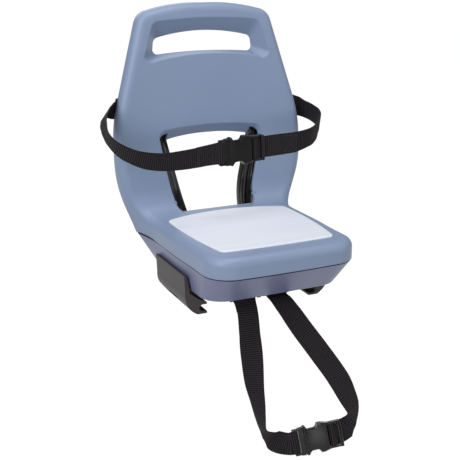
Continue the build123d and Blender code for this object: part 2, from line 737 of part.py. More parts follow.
def web_turn(frame, bar, side, tail):
    """Webbing turned round a bar of the frame, from its tail layer to its running layer.

    side is the way the web leaves along the frame; tail is 1 when the tail lies in front.
    """
    turn = 2.25 + gap + web_t / 2
    lead = [(7.5, -0.95), (3.6, -2.5)]
    spots = [(bar + side * x, tail * -z) for x, z in lead]
    for angle in (-90, -45, 0, 45, 90):
        spots.append((bar - side * turn * cos(radians(angle)), tail * -turn * sin(radians(angle))))
    spots += [(bar + side * x, tail * z) for x, z in reversed(lead)]
    return [(tuple(frame.from_local_coords((x, 0, z))), tuple(frame.y_dir)) for x, z in spots]


waist_buckle_tongue = buckle_tongue(waist_frame)
waist_buckle_tongue.part.label = "waist_buckle_tongue"
export_step(waist_buckle_tongue.part, "parts/waist_buckle_tongue.step")
waist_buckle_socket = buckle_socket(waist_frame)
waist_buckle_socket.part.label = "waist_buckle_socket"
export_step(waist_buckle_socket.part, "parts/waist_buckle_socket.step")
lower_buckle_tongue = buckle_tongue(lower_frame)
lower_buckle_tongue.part.label = "lower_buckle_tongue"
export_step(lower_buckle_tongue.part, "parts/lower_buckle_tongue.step")
lower_buckle_socket = buckle_socket(lower_frame)
lower_buckle_socket.part.label = "lower_buckle_socket"
export_step(lower_buckle_socket.part, "parts/lower_buckle_socket.step")

# Webbing paths: centre of the web and the direction across it.
flat_up = (0, 0.08, 1)
waist_left_path = [
    ((-66, 17.3, 188.8), (-0.08, -0.21, 0.97)),
    ((-52, 16.3, 190.5), (-0.07, -0.17, 0.98))]
waist_left_path += web_turn(waist_frame, tongue_bar, -1, -1)
waist_left_path += [
    ((-52, 14.4, 190.5), (-0.07, -0.17, 0.98)),
    ((-66, 15.3, 188.8), (-0.08, -0.21, 0.97)),
    ((-87.7, 18, 186.7), (-0.10, -0.28, 0.95)),
    ((-112.3, 22, 185.7), (-0.04, -0.41, 0.91)),
    ((-135.1, 28, 188.5), (-0.02, -0.50, 0.86)),
    ((-155.4, 36, 195.1), (0.08, -0.65, 0.76)),
    ((-170, 48, 204.4), (0.16, -0.85, 0.51)),
    ((-178.3, 60, 215.6), (0.13, -0.95, 0.27)),
    ((-178.3, 75, 227.1), (0.05, -0.94, 0.33)),
    ((-173.8, 92, 236.3), (0, -0.86, 0.50)),
    ((-165.9, 108, 239.8), (-0.01, -0.80, 0.60)),
    ((-155.5, 122, 241.8), (0.02, -0.63, 0.77)),
    ((-149.0, 131.3, 243.2), (0.06, -0.32, 0.93)),
    ((-141, 136.0, 243.8), (0.03, -0.02, 1)),
    ((-128, 136.4, 242.5), flat_up),
    ((-112, 137.8, 240.5), flat_up),
    ((-97.5, 139.4, 240), flat_up)]
waist_right_path = [
    ((92, 21.2, 196.4), (-0.02, -0.05, 1)),
    ((63, 16.2, 196.3), (-0.05, 0, 1)),
    ((44, 14.3, 196.0), (-0.04, 0, 1))]
waist_right_path += web_turn(waist_frame, ladder_bar, 1, 1)
waist_right_path += [
    ((44, 16.1, 196.0), (-0.04, 0, 1)),
    ((63, 18.1, 196.3), (-0.05, 0, 1)),
    ((92, 23.3, 196.4), (-0.02, -0.05, 1)),
    ((118.8, 32, 199.3), (-0.29, -0.37, 0.88)),
    ((138.2, 48, 202), (-0.42, -0.58, 0.70)),
    ((153.6, 66, 206.8), (-0.40, -0.67, 0.62)),
    ((166.2, 84, 211.4), (-0.25, -0.61, 0.75)),
    ((171.2, 100, 215.1), (-0.11, -0.50, 0.86)),
    ((168.8, 116, 220.4), (-0.12, -0.42, 0.90)),
    ((162.5, 128, 224.3), (-0.15, -0.33, 0.93)),
    ((154.5, 135.0, 227.9), (-0.12, -0.12, 0.98)),
    ((142, 136.2, 232.2), (-0.03, 0.02, 1)),
    ((128, 136.4, 237.8), flat_up),
    ((112, 137.8, 239.5), flat_up),
    ((97.5, 139.4, 240), flat_up)]
lower_left_path = [
    ((-37, bar_y - 5.0, -5.0), (-1, 0.03, 0)),
    ((-36.6, bar_y - 2.8, 2.0), (-1, 0, 0)),
    ((-36.5, bar_y + 1.2, bar_z - 4.7), (-1, 0, 0)),
    ((-36.5, bar_y + 3.7, bar_z - 2.7), (-1, 0, 0)),
    ((-36.5, bar_y + 4.4, bar_z + 0.6), (-1, 0, 0)),
    ((-36.5, bar_y + 2.6, bar_z + 3.55), (-1, 0, 0)),
    ((-36.5, bar_y - 0.4, bar_z + 4.35), (-1, 0, 0)),
    ((-36.5, bar_y - 3.2, bar_z + 3.05), (-1, 0, 0)),
    ((-36.5, bar_y - 4.45, bar_z), (-1, 0, 0)),
    ((-36.7, -77.4, 4.6), (-1, 0.02, 0)),
    ((-37.3, -82.2, -1.0), (-1, 0.04, 0.03)),
    ((-38.2, -87.8, -10.0), (-0.99, 0.07, 0.06)),
    ((-39.3, -95.3, -34.2), (-0.98, 0.13, 0.13)),
    ((-40.2, -104.8, -66.6), (-0.93, 0.35, 0.0)),
    ((-41.1, -113.5, -96.4), (-0.75, 0.63, -0.10)),
    ((-40.3, -120.6, -119.2), (-0.45, 0.85, -0.27)),
    ((-38.6, -127.3, -140.8), (-0.12, 0.94, -0.33)),
    ((-35.0, -133.2, -158.6), (0.14, 0.80, -0.59)),
    ((-31.4, -137.2, -167.9), (0.12, 0.46, -0.88)),
    ((-24.0, -141.8, -174.2), (-0.09, 0.0, -1.0))]
lower_turn = web_turn(lower_frame, tongue_bar, -1, -1)
lower_left_path += [(spot, (-u[0], -u[1], -u[2])) for spot, u in reversed(lower_turn)]
lower_left_path.append(((-21.5, -141.2, -174.6), (-0.12, -0.12, -0.98)))
lower_right_path = [
    (tuple(lower_frame.from_local_coords((47, 0, 1.0))), tuple(lower_frame.y_dir))]
lower_right_path += web_turn(lower_frame, ladder_bar, 1, 1)
lower_right_path += [
    (tuple(lower_frame.from_local_coords((38.5, 0, -1))), tuple(lower_frame.y_dir)),
    (tuple(lower_frame.from_local_coords((43, 0.6, -1.2))), tuple(lower_frame.y_dir)),
    ((78.5, -165.6, -160.5), (-0.25, 0.10, 0.95)),
    ((82.0, -164.6, -152.0), (-0.55, -0.20, 0.80)),
    ((83.7, -162.9, -143.8), (-0.80, -0.43, 0.42)),
    ((84.2, -159.7, -132.8), (-0.95, -0.30, 0.0)),
    ((79.2, -154.3, -119.6), (-0.99, -0.10, -0.12)),
    ((71.7, -146.5, -100.5), (-0.88, 0.11, -0.46)),
    ((49.3, -128.4, -61.4), (-0.87, 0.10, -0.48)),
    ((29.2, -112.9, -28.5), (-0.94, 0.02, -0.35)),
    ((15.5, -101.9, -4.5), (-0.97, -0.10, -0.18)),
    ((9.3, -91.0, 7.4), (-1, -0.02, -0.03)),
    ((8, bar_y - 6.2, bar_z + 0.3), (-1, 0, 0)),
    ((8, bar_y - 3.2, bar_z + 3.05), (-1, 0, 0)),
    ((8, bar_y - 0.4, bar_z + 4.35), (-1, 0, 0)),
    ((8, bar_y + 2.6, bar_z + 3.55), (-1, 0, 0)),
    ((8, bar_y + 4.4, bar_z + 0.6), (-1, 0, 0)),
    ((8, bar_y + 3.7, bar_z - 2.7), (-1, 0, 0)),
    ((8, bar_y + 0.8, bar_z - 4.7), (-1, 0, 0)),
    ((8.2, bar_y - 3.2, 5.6), (-1, 0, 0))]

with BuildPart() as waist_strap_left:
    for plane in web_sections(waist_left_path):
        with BuildSketch(plane):
            Rectangle(web_w, web_t)
    loft(ruled=True)
waist_strap_left.part.label = "waist_strap_left"
export_step(waist_strap_left.part, "parts/waist_strap_left.step")

with BuildPart() as waist_strap_right:
    for plane in web_sections(waist_right_path):
        with BuildSketch(plane):
            Rectangle(web_w, web_t)
    loft(ruled=True)
waist_strap_right.part.label = "waist_strap_right"
export_step(waist_strap_right.part, "parts/waist_strap_right.step")

with BuildPart() as lower_strap_left:
    for plane in web_sections(lower_left_path):
        with BuildSketch(plane):
            Rectangle(web_w, web_t)
    loft(ruled=True)
lower_strap_left.part.label = "lower_strap_left"
export_step(lower_strap_left.part, "parts/lower_strap_left.step")

with BuildPart() as lower_strap_right:
    for plane in web_sections(lower_right_path):
        with BuildSketch(plane):
            Rectangle(web_w, web_t)
    loft(ruled=True)
lower_strap_right.part.label = "lower_strap_right"
export_step(lower_strap_right.part, "parts/lower_strap_right.step")

plate_up = 2 * gap + web_t + 0.4
for name, face in (("left", left_anchor_face), ("right", anchor_face)):
    with BuildPart() as anchor_plate:
        with BuildSketch(face.offset(plate_up)):
            RectangleRounded(22, web_w + 20, 5)
        extrude(amount=2.5)
        fillet(anchor_plate.faces().sort_by(Axis.Y)[-1].outer_wire().edges(), 1)
        with BuildSketch(face):
            with Locations((0, plate_hole), (0, -plate_hole)):
                Circle(2.3)
        extrude(amount=10, mode=Mode.SUBTRACT)
    anchor_plate.part.label = "anchor_plate_" + name
    export_step(anchor_plate.part, "parts/anchor_plate_" + name + ".step")
    for height, up in (("upper", plate_hole), ("lower", -plate_hole)):
        with BuildPart() as anchor_screw:
            with BuildSketch(face.offset(plate_up + 2.5 + gap)):
                with Locations((0, up)):
                    Circle(4.0)
            extrude(amount=2.4)
            fillet(anchor_screw.faces().sort_by(Axis.Y)[-1].outer_wire().edges(), 1)
            with BuildSketch(face.offset(plate_up + 3)):
                with Locations((0, up)):
                    Circle(1.9)
            extrude(amount=-14)
            with BuildSketch(face.offset(plate_up + 4)):
                with Locations((0, up)):
                    Rectangle(4.6, 1)
                    Rectangle(1, 4.6)
            extrude(amount=3, mode=Mode.SUBTRACT)
        anchor_screw.part.label = "anchor_screw_" + name + "_" + height
        export_step(anchor_screw.part, "parts/anchor_screw_" + name + "_" + height + ".step")
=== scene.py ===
# %% [markdown]
# # Child bike seat
# This lesson dresses a finished CAD assembly in Blender. The solids of the seat arrive as a fixed
# frame in metres, with +Y to the back and +Z up. Hard pieces keep their CAD mesh and only get a
# finish, apart from two fluted channels. These and the soft pieces, which are the webbing, its
# stitching and the pad, are new numpy surfaces.

import bpy
import numpy as np
from mathutils import Matrix, Vector


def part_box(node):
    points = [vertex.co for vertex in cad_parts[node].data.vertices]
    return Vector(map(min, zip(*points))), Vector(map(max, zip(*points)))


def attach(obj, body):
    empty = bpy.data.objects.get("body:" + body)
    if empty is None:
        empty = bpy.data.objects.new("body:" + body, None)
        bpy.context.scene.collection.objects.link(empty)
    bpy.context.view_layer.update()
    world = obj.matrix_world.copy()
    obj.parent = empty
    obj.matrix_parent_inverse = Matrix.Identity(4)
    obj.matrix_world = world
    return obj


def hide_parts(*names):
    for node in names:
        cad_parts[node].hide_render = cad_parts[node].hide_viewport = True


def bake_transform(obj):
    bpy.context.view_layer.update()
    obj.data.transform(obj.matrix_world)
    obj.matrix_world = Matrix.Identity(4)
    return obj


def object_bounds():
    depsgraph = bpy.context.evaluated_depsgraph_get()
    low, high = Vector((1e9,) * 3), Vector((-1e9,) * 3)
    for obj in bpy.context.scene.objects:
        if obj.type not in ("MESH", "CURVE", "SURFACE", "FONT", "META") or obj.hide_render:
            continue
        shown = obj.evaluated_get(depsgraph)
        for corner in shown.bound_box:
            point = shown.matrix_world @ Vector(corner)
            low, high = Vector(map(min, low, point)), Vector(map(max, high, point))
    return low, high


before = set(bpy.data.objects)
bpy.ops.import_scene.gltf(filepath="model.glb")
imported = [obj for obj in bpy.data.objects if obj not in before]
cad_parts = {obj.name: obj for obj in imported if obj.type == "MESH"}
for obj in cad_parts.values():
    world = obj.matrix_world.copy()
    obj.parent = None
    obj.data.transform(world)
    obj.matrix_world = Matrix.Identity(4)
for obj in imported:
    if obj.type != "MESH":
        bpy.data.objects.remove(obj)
cad_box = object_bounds()
MM = 0.001

# %% [markdown]
# ## Camera
# The product picture was taken from the front, a little to the left and above, with a long lens.
# The eye point and the viewing direction come from pairs of points that mirror each other on the
# seat. They are written as a matrix, because a track constraint would leave the roll to Blender.

# %% Camera
FRAME_PX = 460
FOCAL_PX = 900
SENSOR_MM = 36
EYE = Vector((-0.536, -1.092, 0.449))
FORWARD = Vector((0.4064, 0.8668, -0.2890)).normalized()
right = FORWARD.cross(Vector((0, 0, 1))).normalized()
upward = right.cross(FORWARD)
camera_data = bpy.data.cameras.new("camera")
camera_data.sensor_width = SENSOR_MM
camera_data.lens = SENSOR_MM * FOCAL_PX / FRAME_PX
camera = bpy.data.objects.new("camera", camera_data)
camera.matrix_world = Matrix((right, upward, -FORWARD)).transposed().to_4x4()
camera.location = EYE
bpy.context.scene.collection.objects.link(camera)
bpy.context.scene.camera = camera
bpy.context.scene.view_settings.view_transform = "Standard"
print("lens", round(camera_data.lens, 1), "mm")

# %% [markdown]
# ## Shader sums as Python
# A finish is a small tree of nodes. Wire holds one output socket, and its operators add Math nodes,
# so a mask can be written as a sum. Finish.node makes every other node: the settings go in first,
# because some of them rebuild the sockets, and then come the values or links of the inputs.


# %% Wire and Finish
class Wire:
    """One output socket; sums and products of wires and numbers become Math nodes."""

    def __init__(self, finish, socket):
        self.finish = finish
        self.socket = socket

    def math(self, operation, *terms):
        """Math node of that operation on the terms, which are wires or numbers."""
        return self.finish.node("ShaderNodeMath", {"operation": operation}, dict(enumerate(terms)))

    def __add__(self, other):
        return self.math("ADD", self, other)

    def __sub__(self, other):
        return self.math("SUBTRACT", self, other)

    def __rsub__(self, other):
        return self.math("SUBTRACT", other, self)

    def __mul__(self, other):
        return self.math("MULTIPLY", self, other)

    def __gt__(self, other):
        return self.math("GREATER_THAN", self, other)

    def __abs__(self):
        return self.math("ABSOLUTE", self)

    def sine(self):
        """Sine of the wire, in radians."""
        return self.math("SINE", self)

    __radd__ = __add__
    __rmul__ = __mul__


class Finish:
    """A node tree whose nodes are made one by one; shader() ends it with a Principled surface."""

    def __init__(self, owner):
        owner.use_nodes = True
        self.owner = owner
        self.tree = owner.node_tree
        self.tree.nodes.clear()

    def node(self, kind, settings=None, inputs=None, out=0):
        """Adds a node, sets its settings, then its inputs, and gives the chosen output as a Wire."""
        made = self.tree.nodes.new(kind)
        for key, value in (settings or {}).items():
            setattr(made, key, value)
        for key, value in (inputs or {}).items():
            if isinstance(value, Wire):
                self.tree.links.new(value.socket, made.inputs[key])
            else:
                made.inputs[key].default_value = value
        return Wire(self, made.outputs[out]) if made.outputs else None

    def place(self):
        """Object coordinates, in metres."""
        return self.node("ShaderNodeTexCoord", out="Object")

    def noise(self, vector, scale, detail=3.0, rough=0.5):
        """Noise of that many features per metre, from 0 to 1."""
        inputs = {"Vector": vector, "Scale": scale, "Detail": detail, "Roughness": rough}
        return self.node("ShaderNodeTexNoise", None, inputs, "Fac")

    def axis(self, vector, letter):
        """One axis of a vector, X, Y or Z."""
        return self.node("ShaderNodeSeparateXYZ", None, {0: vector}, letter)

    def dot(self, first, second):
        """Dot product of two vectors, each a wire or three numbers."""
        product = {"operation": "DOT_PRODUCT"}
        return self.node("ShaderNodeVectorMath", product, {0: first, 1: second}, "Value")

    def background(self, share, mirror):
        """That share for the rays that see the white ground, and 0 for those that light the seat.

        They come from the camera or through a clear piece, and with mirror at 1 from a reflection.
        """
        kinds = ("Is Camera Ray", "Is Glossy Ray", "Is Transmission Ray")
        seen, mirrored, through = (self.node("ShaderNodeLightPath", out=kind) for kind in kinds)
        return (seen + mirrored * mirror + through > 0.5) * share

    def stretch(self, vector, scale):
        """The vector with each axis scaled, so that a noise runs in streaks."""
        return self.node("ShaderNodeMapping", None, {"Vector": vector, "Scale": scale})

    def tint(self, mask, low, high):
        """Colour from low to high as the mask goes from 0 to 1; each is a colour or a wire."""
        low, high = (end if isinstance(end, Wire) else (*end, 1) for end in (low, high))
        return self.node("ShaderNodeMix", {"data_type": "RGBA"}, {0: mask, 6: low, 7: high}, 2)

    def bump(self, height, depth, normal=None):
        """Normal bent by a height field whose full step is depth metres, on a given normal if any."""
        inputs = {"Height": height, "Distance": depth}
        if normal is not None:
            inputs["Normal"] = normal
        return self.node("ShaderNodeBump", None, inputs)

    def shader(self, **inputs):
        """Principled surface; underscores in the names stand for spaces."""
        named = {key.replace("_", " "): value for key, value in inputs.items()}
        surface = self.node("ShaderNodeBsdfPrincipled", None, named)
        self.node("ShaderNodeOutputMaterial", None, {"Surface": surface})
        return self.owner


def srgb(red, green, blue):
    """Linear colour of a screen colour given in 0 to 255."""
    c = np.array((red, green, blue)) / 255
    return tuple(np.where(c <= 0.04045, c / 12.92, ((c + 0.055) / 1.055) ** 2.4).tolist())


print("shader helpers ready")

# %% [markdown]
# ## Studio
# The photograph has a bright room and a white ground. Broad lamps stand at the upper left, above and
# behind, weaker ones at the right and low in front, and a small one at the left brings out the rims.
# The world fills the shade. The floor shows white to the camera and in reflections, and keeps a little
# of its own diffuse surface, so that the shadow of the seat stays on it. The world is white where the
# camera looks at it, and reflections see it at the level of the room.

# %% Lamps
# Each lamp has a name, a place and a size in metres, and its power in watts.
LAMPS = (
    ("key", (-1.5, -0.9, 1.4), 1.2, 24.0),
    ("fill", (1.6, -1.2, 0.7), 1.4, 6.0),
    ("top", (0.1, -0.3, 2.0), 1.0, 18.0),
    ("rear", (0.2, 1.8, 1.2), 1.4, 8.0),
    ("front", (-0.03, -2.1, -0.06), 0.6, 5.0),
    ("rim", (-1.28, -0.77, 0.44), 0.35, 2.5),
)
TARGET = Vector((0, 0, 0.12))
for name, spot, size, watts in LAMPS:
    lamp_data = bpy.data.lights.new(name, "AREA")
    lamp_data.size = size
    lamp_data.energy = watts
    lamp = bpy.data.objects.new(name, lamp_data)
    lamp.location = spot
    lamp.rotation_euler = (TARGET - Vector(spot)).to_track_quat("-Z", "Y").to_euler()
    bpy.context.scene.collection.objects.link(lamp)
print(len(LAMPS), "lamps")

# %% World
ROOM_LIGHT = 0.235
bpy.context.scene.world = bpy.data.worlds.new("studio")
sky = Finish(bpy.context.scene.world)
room = sky.node("ShaderNodeBackground", None, {"Color": (1, 1, 1, 1), "Strength": ROOM_LIGHT})
white = sky.node("ShaderNodeBackground", None, {"Color": (1, 1, 1, 1), "Strength": 1.0})
behind = sky.node("ShaderNodeMixShader", None, {0: sky.background(1.0, 0.0), 1: room, 2: white})
sky.node("ShaderNodeOutputWorld", None, {"Surface": behind})
print("room light", ROOM_LIGHT)

# %% Floor
FLOOR_HALF = 9.0
FLOOR_DROP = 0.002
FLOOR_WHITE = 0.85
FLOOR_GLOW = 1.17
FLOOR_PALE = 0.5
floor_z = cad_box[0].z - FLOOR_DROP
corners = np.array([(-1, -1), (1, -1), (1, 1), (-1, 1)]) * FLOOR_HALF
floor_mesh = bpy.data.meshes.new("floor")
floor_mesh.from_pydata([(x, y, floor_z) for x, y in corners], [], [(0, 1, 2, 3)])
floor = bpy.data.objects.new("floor", floor_mesh)
bpy.context.scene.collection.objects.link(floor)
paper = Finish(bpy.data.materials.new("floor_paper"))
pale = (FLOOR_PALE, FLOOR_PALE, FLOOR_PALE, 1)
plain = paper.node("ShaderNodeBsdfDiffuse", None, {"Color": pale})
glow = paper.node("ShaderNodeEmission", None, {"Color": (1, 1, 1, 1), "Strength": FLOOR_GLOW})
shown = paper.background(FLOOR_WHITE, 1.0)
ground = paper.node("ShaderNodeMixShader", None, {0: shown, 1: plain, 2: glow})
paper.node("ShaderNodeOutputMaterial", None, {"Surface": ground})
floor_mesh.materials.append(paper.owner)
print("floor at", round(floor_z, 4))

# %% [markdown]
# ## Moulded plastic
# The seat and the tray are injection mouldings in a blue grey, the tray a little more violet. The
# skin has a fine spark-eroded grain. Colour is almost even, so the noise only shifts it by a few
# percent, and the grain is a shallow bump. A mould leaves no sharp edge, so a Bevel node rounds the
# shading of every edge by a millimetre or two. The joint between seat and tray is a narrow gap, and
# both sides of it are darkened at that height with painted shade, which stands for the shade inside it.


# %% Moulded finish
JOINT_Z = 61.6 * MM
JOINT_HALF = 1.1 * MM
JOINT_SHADE_SHARE = 0.16
CLOUDS_PER_M = 9.0
ROUGH_SHIFT = 0.10
BEVEL_RAYS = 6
RUB_FROM, RUB_FULL = 0.98, 0.80
RUB_ROUGH = 0.15


def moulded(name, low, high, rough, grain, specular, edge_mm, joint=False, polish=0.0, dome=None):
    """Satin moulding: cloud noise between two colours, a fine grain and rounded edges in the normal.

    grain is its pitch and depth in millimetres. With joint, the colour falls to JOINT_SHADE_SHARE of
    itself
    within JOINT_HALF of the parting height: painted shade for the narrow gap between seat and tray.
    polish is a coat on the edges, where hands have rubbed them. An edge is where the rounded normal
    turns from the face's own: the coat starts at a cosine of RUB_FROM and is full at RUB_FULL. dome
    gives a height over the place, which shades a flat face as a cushion.
    """
    finish = Finish(bpy.data.materials.new(name))
    place = finish.place()
    cloud = finish.noise(place, CLOUDS_PER_M, 2.0)
    pitch, depth = grain
    spark = finish.noise(place, 1 / (pitch * MM), 2.0, 0.6)
    colour = finish.tint(cloud, srgb(*low), srgb(*high))
    # Painted shade: the colour darkens on both sides of the joint, standing for the shade in the narrow
    # gap.
    if joint:
        away = abs(finish.axis(place, "Z") - JOINT_Z)
        shade = finish.node("ShaderNodeMapRange", {"interpolation_type": "SMOOTHSTEP"},
                            {0: away, 1: JOINT_HALF * 0.5, 2: JOINT_HALF, 3: 0.0, 4: 1.0})
        joint_shade_colour = tuple(JOINT_SHADE_SHARE * c for c in srgb(*low))
        colour = finish.tint(shade, joint_shade_colour, colour)
    edge = finish.node("ShaderNodeBevel", {"samples": BEVEL_RAYS}, {"Radius": edge_mm * MM})
    same = finish.dot(edge, finish.node("ShaderNodeNewGeometry", out="Normal"))
    rubbed = finish.node("ShaderNodeMapRange", None,
                         {0: same, 1: RUB_FROM, 2: RUB_FULL, 3: 0.0, 4: polish})
    if dome is not None:
        edge = finish.bump(dome(finish, place), 1.0, normal=edge)
    return finish.shader(
        Base_Color=colour,
        Roughness=rough + (spark - 0.5) * ROUGH_SHIFT,
        Specular_IOR_Level=specular,
        Coat_Weight=rubbed,
        Coat_Roughness=RUB_ROUGH,
        Normal=finish.bump(spark, depth * MM, normal=edge))


SKIN = {"rough": 0.42, "grain": (0.9, 0.03), "specular": 0.4, "joint": True}
BLACK = {"low": (12, 12, 13), "high": (18, 17, 19), "rough": 0.26, "grain": (0.7, 0.02),
         "edge_mm": 1.1, "polish": 1.0}
seat_plastic = moulded("seat_plastic", (126, 143, 172), (134, 150, 179), edge_mm=2.2, **SKIN)
tray_plastic = moulded("tray_plastic", (112, 118, 150), (120, 125, 157), edge_mm=1.0, **SKIN)
black_plastic = moulded("black_plastic", specular=0.17, **BLACK)
jaw_plastic = moulded("jaw_plastic", (58, 53, 56), (72, 66, 69), 0.50, (1.1, 0.06), 0.3, 1.2)
black_gloss = moulded("black_gloss", (10, 10, 11), (15, 14, 16), 0.20, (2.0, 0.01), 0.4, 1.0)
print("five mouldings")

# %% [markdown]
# ## Plated steel
# The screws, nuts and spindle are zinc plated. The plating is a dull metal whose roughness
# changes in small patches.

# %% Steel finish
PATCHES_PER_M = 260.0
zinc = Finish(bpy.data.materials.new("zinc_steel"))
patches = zinc.noise(zinc.place(), PATCHES_PER_M, 4.0)
steel = zinc.shader(
    Base_Color=zinc.tint(patches, srgb(176, 177, 180), srgb(206, 206, 204)),
    Metallic=1.0,
    Roughness=0.30 + patches * 0.16)
print("steel ready")

# %% Finishes on the CAD nodes
MOULDINGS = {"seat_shell": seat_plastic, "base_tray": tray_plastic, "clamp_housing": jaw_plastic,
             "left_jaw": jaw_plastic, "right_jaw": jaw_plastic}


def wear(node, finish):
    """Gives a CAD node that one finish."""
    node.data.materials.clear()
    node.data.materials.append(finish)


for name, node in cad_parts.items():
    if name in MOULDINGS:
        wear(node, MOULDINGS[name])
    elif "screw" in name or "nut" in name or name == "clamp_spindle":
        wear(node, steel)
    elif name.endswith("strut"):
        wear(node, black_gloss)
    else:
        wear(node, black_plastic)
print("finishes set on", len(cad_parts), "nodes")

# %% [markdown]
# ## Webbing
# The belt and the lower strap are woven bands 30 mm wide. Each strand runs from its anchor to a
# buckle, goes round the buckle's bar and comes back as a second layer. The band is a profile carried
# along a path. The path is a list of stations, each with the centre of the band and the direction
# across it, and cubic spans join them. The ribs of the weave are real waves in the surface.


# %% Band along a path
WEB_W = 30 * MM
WEB_T = 1.6 * MM
RIB = 2.9 * MM
RIB_DEEP = 0.16 * MM
STEP = 0.36 * MM


def spans(stations):
    """Fine centres, directions along and across, run lengths, and the run at each station.

    Each span is a cubic Hermite curve: its end slopes are the mean of the two unit chords that meet
    there, times the chord's length. The width direction is blended evenly along the span.
    """
    centre = np.array([spot for spot, across in stations]) * MM
    width = np.array([across for spot, across in stations], float)
    width /= np.linalg.norm(width, axis=1)[:, None]
    chord = np.diff(centre, axis=0)
    size = np.linalg.norm(chord, axis=1)[:, None]
    unit = chord / size
    start = (unit + np.vstack([unit[:1], unit[:-1]])) * size / 2
    end = (unit + np.vstack([unit[1:], unit[-1:]])) * size / 2
    counts = np.maximum(2, np.round(size[:, 0] / STEP)).astype(int)
    span = np.repeat(np.arange(len(chord)), counts)
    t = (np.arange(len(span)) - np.repeat(np.cumsum(counts) - counts, counts)) / counts[span]
    span = np.append(span, len(chord) - 1)
    t = np.append(t, 1.0)[:, None]
    fine = (centre[span] * (2 * t ** 3 - 3 * t ** 2 + 1) + start[span] * (t ** 3 - 2 * t ** 2 + t)
            + centre[span + 1] * (3 * t ** 2 - 2 * t ** 3) + end[span] * (t ** 3 - t ** 2))
    across = width[span] * (1 - t) + width[span + 1] * t
    along = np.gradient(fine, axis=0)
    along /= np.linalg.norm(along, axis=1)[:, None]
    across -= along * np.sum(across * along, axis=1)[:, None]
    across /= np.linalg.norm(across, axis=1)[:, None]
    run = np.append(0, np.cumsum(np.linalg.norm(np.diff(fine, axis=0), axis=1)))
    return fine, along, across, run, run[np.append(0, np.cumsum(counts))]


def closed_faces(rows, columns, flip=False):
    """Quads of a grid whose columns close on themselves, and a cap on its first and last row.

    They point outwards where the columns turn anticlockwise as seen from the last row's side. For
    columns that turn clockwise, flip reverses them.
    """
    row, column = np.meshgrid(np.arange(rows - 1), np.arange(columns), indexing="ij")
    beside = (column + 1) % columns
    quads = np.stack([row * columns + column, row * columns + beside,
                      (row + 1) * columns + beside, (row + 1) * columns + column], axis=-1)
    first, last = list(range(columns)), list(range((rows - 1) * columns, rows * columns))
    faces = [*quads.reshape(-1, 4).tolist(), first[::-1], last]
    return [face[::-1] for face in faces] if flip else faces


def piece(name, points, faces, finish, uv=None, crease=None):
    """Smooth object with its mesh in place; uv is one pair for each vertex, crease a sharp angle."""
    mesh = bpy.data.meshes.new(name)
    mesh.from_pydata(points.reshape(-1, 3).tolist(), [], faces)
    mesh.polygons.foreach_set("use_smooth", np.full(len(mesh.polygons), True))
    if crease is not None:
        mesh.set_sharp_from_angle(angle=np.radians(crease))
    if uv is not None:
        corner = np.zeros(len(mesh.loops), np.int32)
        mesh.loops.foreach_get("vertex_index", corner)
        mesh.uv_layers.new(name="cloth").data.foreach_set("uv", uv.reshape(-1, 2)[corner].ravel())
    mesh.materials.append(finish)
    made = bpy.data.objects.new(name, mesh)
    bpy.context.scene.collection.objects.link(made)
    return made


print("band helpers ready")


# %% [markdown]
# ## Weave finish
# The cloth is black yarn. Its ribs are in the mesh, and the finish adds what is finer: the single
# yarns along the band, a slight unevenness between ribs, and a painted highlight, a paler colour on one
# flank of each rib, a quarter of its pitch past the top.

# %% Weave
YARN = 0.75 * MM
UNEVEN_PER_M = (900.0, 160.0, 1.0)
weave = Finish(bpy.data.materials.new("webbing_black"))
cloth = weave.node("ShaderNodeUVMap", {"uv_map": "cloth"})
run_along = weave.axis(cloth, "X")
run_across = weave.axis(cloth, "Y")
yarn = (run_across * (2 * np.pi / YARN)).sine() * 0.5 + 0.5
uneven = weave.noise(weave.stretch(cloth, UNEVEN_PER_M), 1.0, 2.0)
# Painted highlight: one flank of each rib is coloured paler, as if lit; the unevenness and yarns mixed
# in are the cloth's own.
painted_rib_highlight = (run_along * (2 * np.pi / RIB)).sine() * 0.5 + 0.5
rib_highlight_and_yarn = painted_rib_highlight * painted_rib_highlight * 0.7 + uneven * 0.2 + yarn * 0.1
webbing = weave.shader(
    Base_Color=weave.tint(rib_highlight_and_yarn, srgb(3, 3, 4), srgb(58, 53, 57)),
    Roughness=0.72 + uneven * 0.15,
    Specular_IOR_Level=0.12,
    Sheen_Weight=0.04,
    Sheen_Roughness=0.5,
    Normal=weave.bump(yarn * 0.6 + uneven * 0.4, 0.10 * MM))
print("weave ready")


# %% Band surface
LOOP_POINTS = 44
LOOP_WIDE, LOOP_HIGH = 0.55, 0.22
SELVEDGE = 0.16
GROOVE_AT, GROOVE_HALF, GROOVE_DEEP = 0.86, 0.035, 0.10 * MM


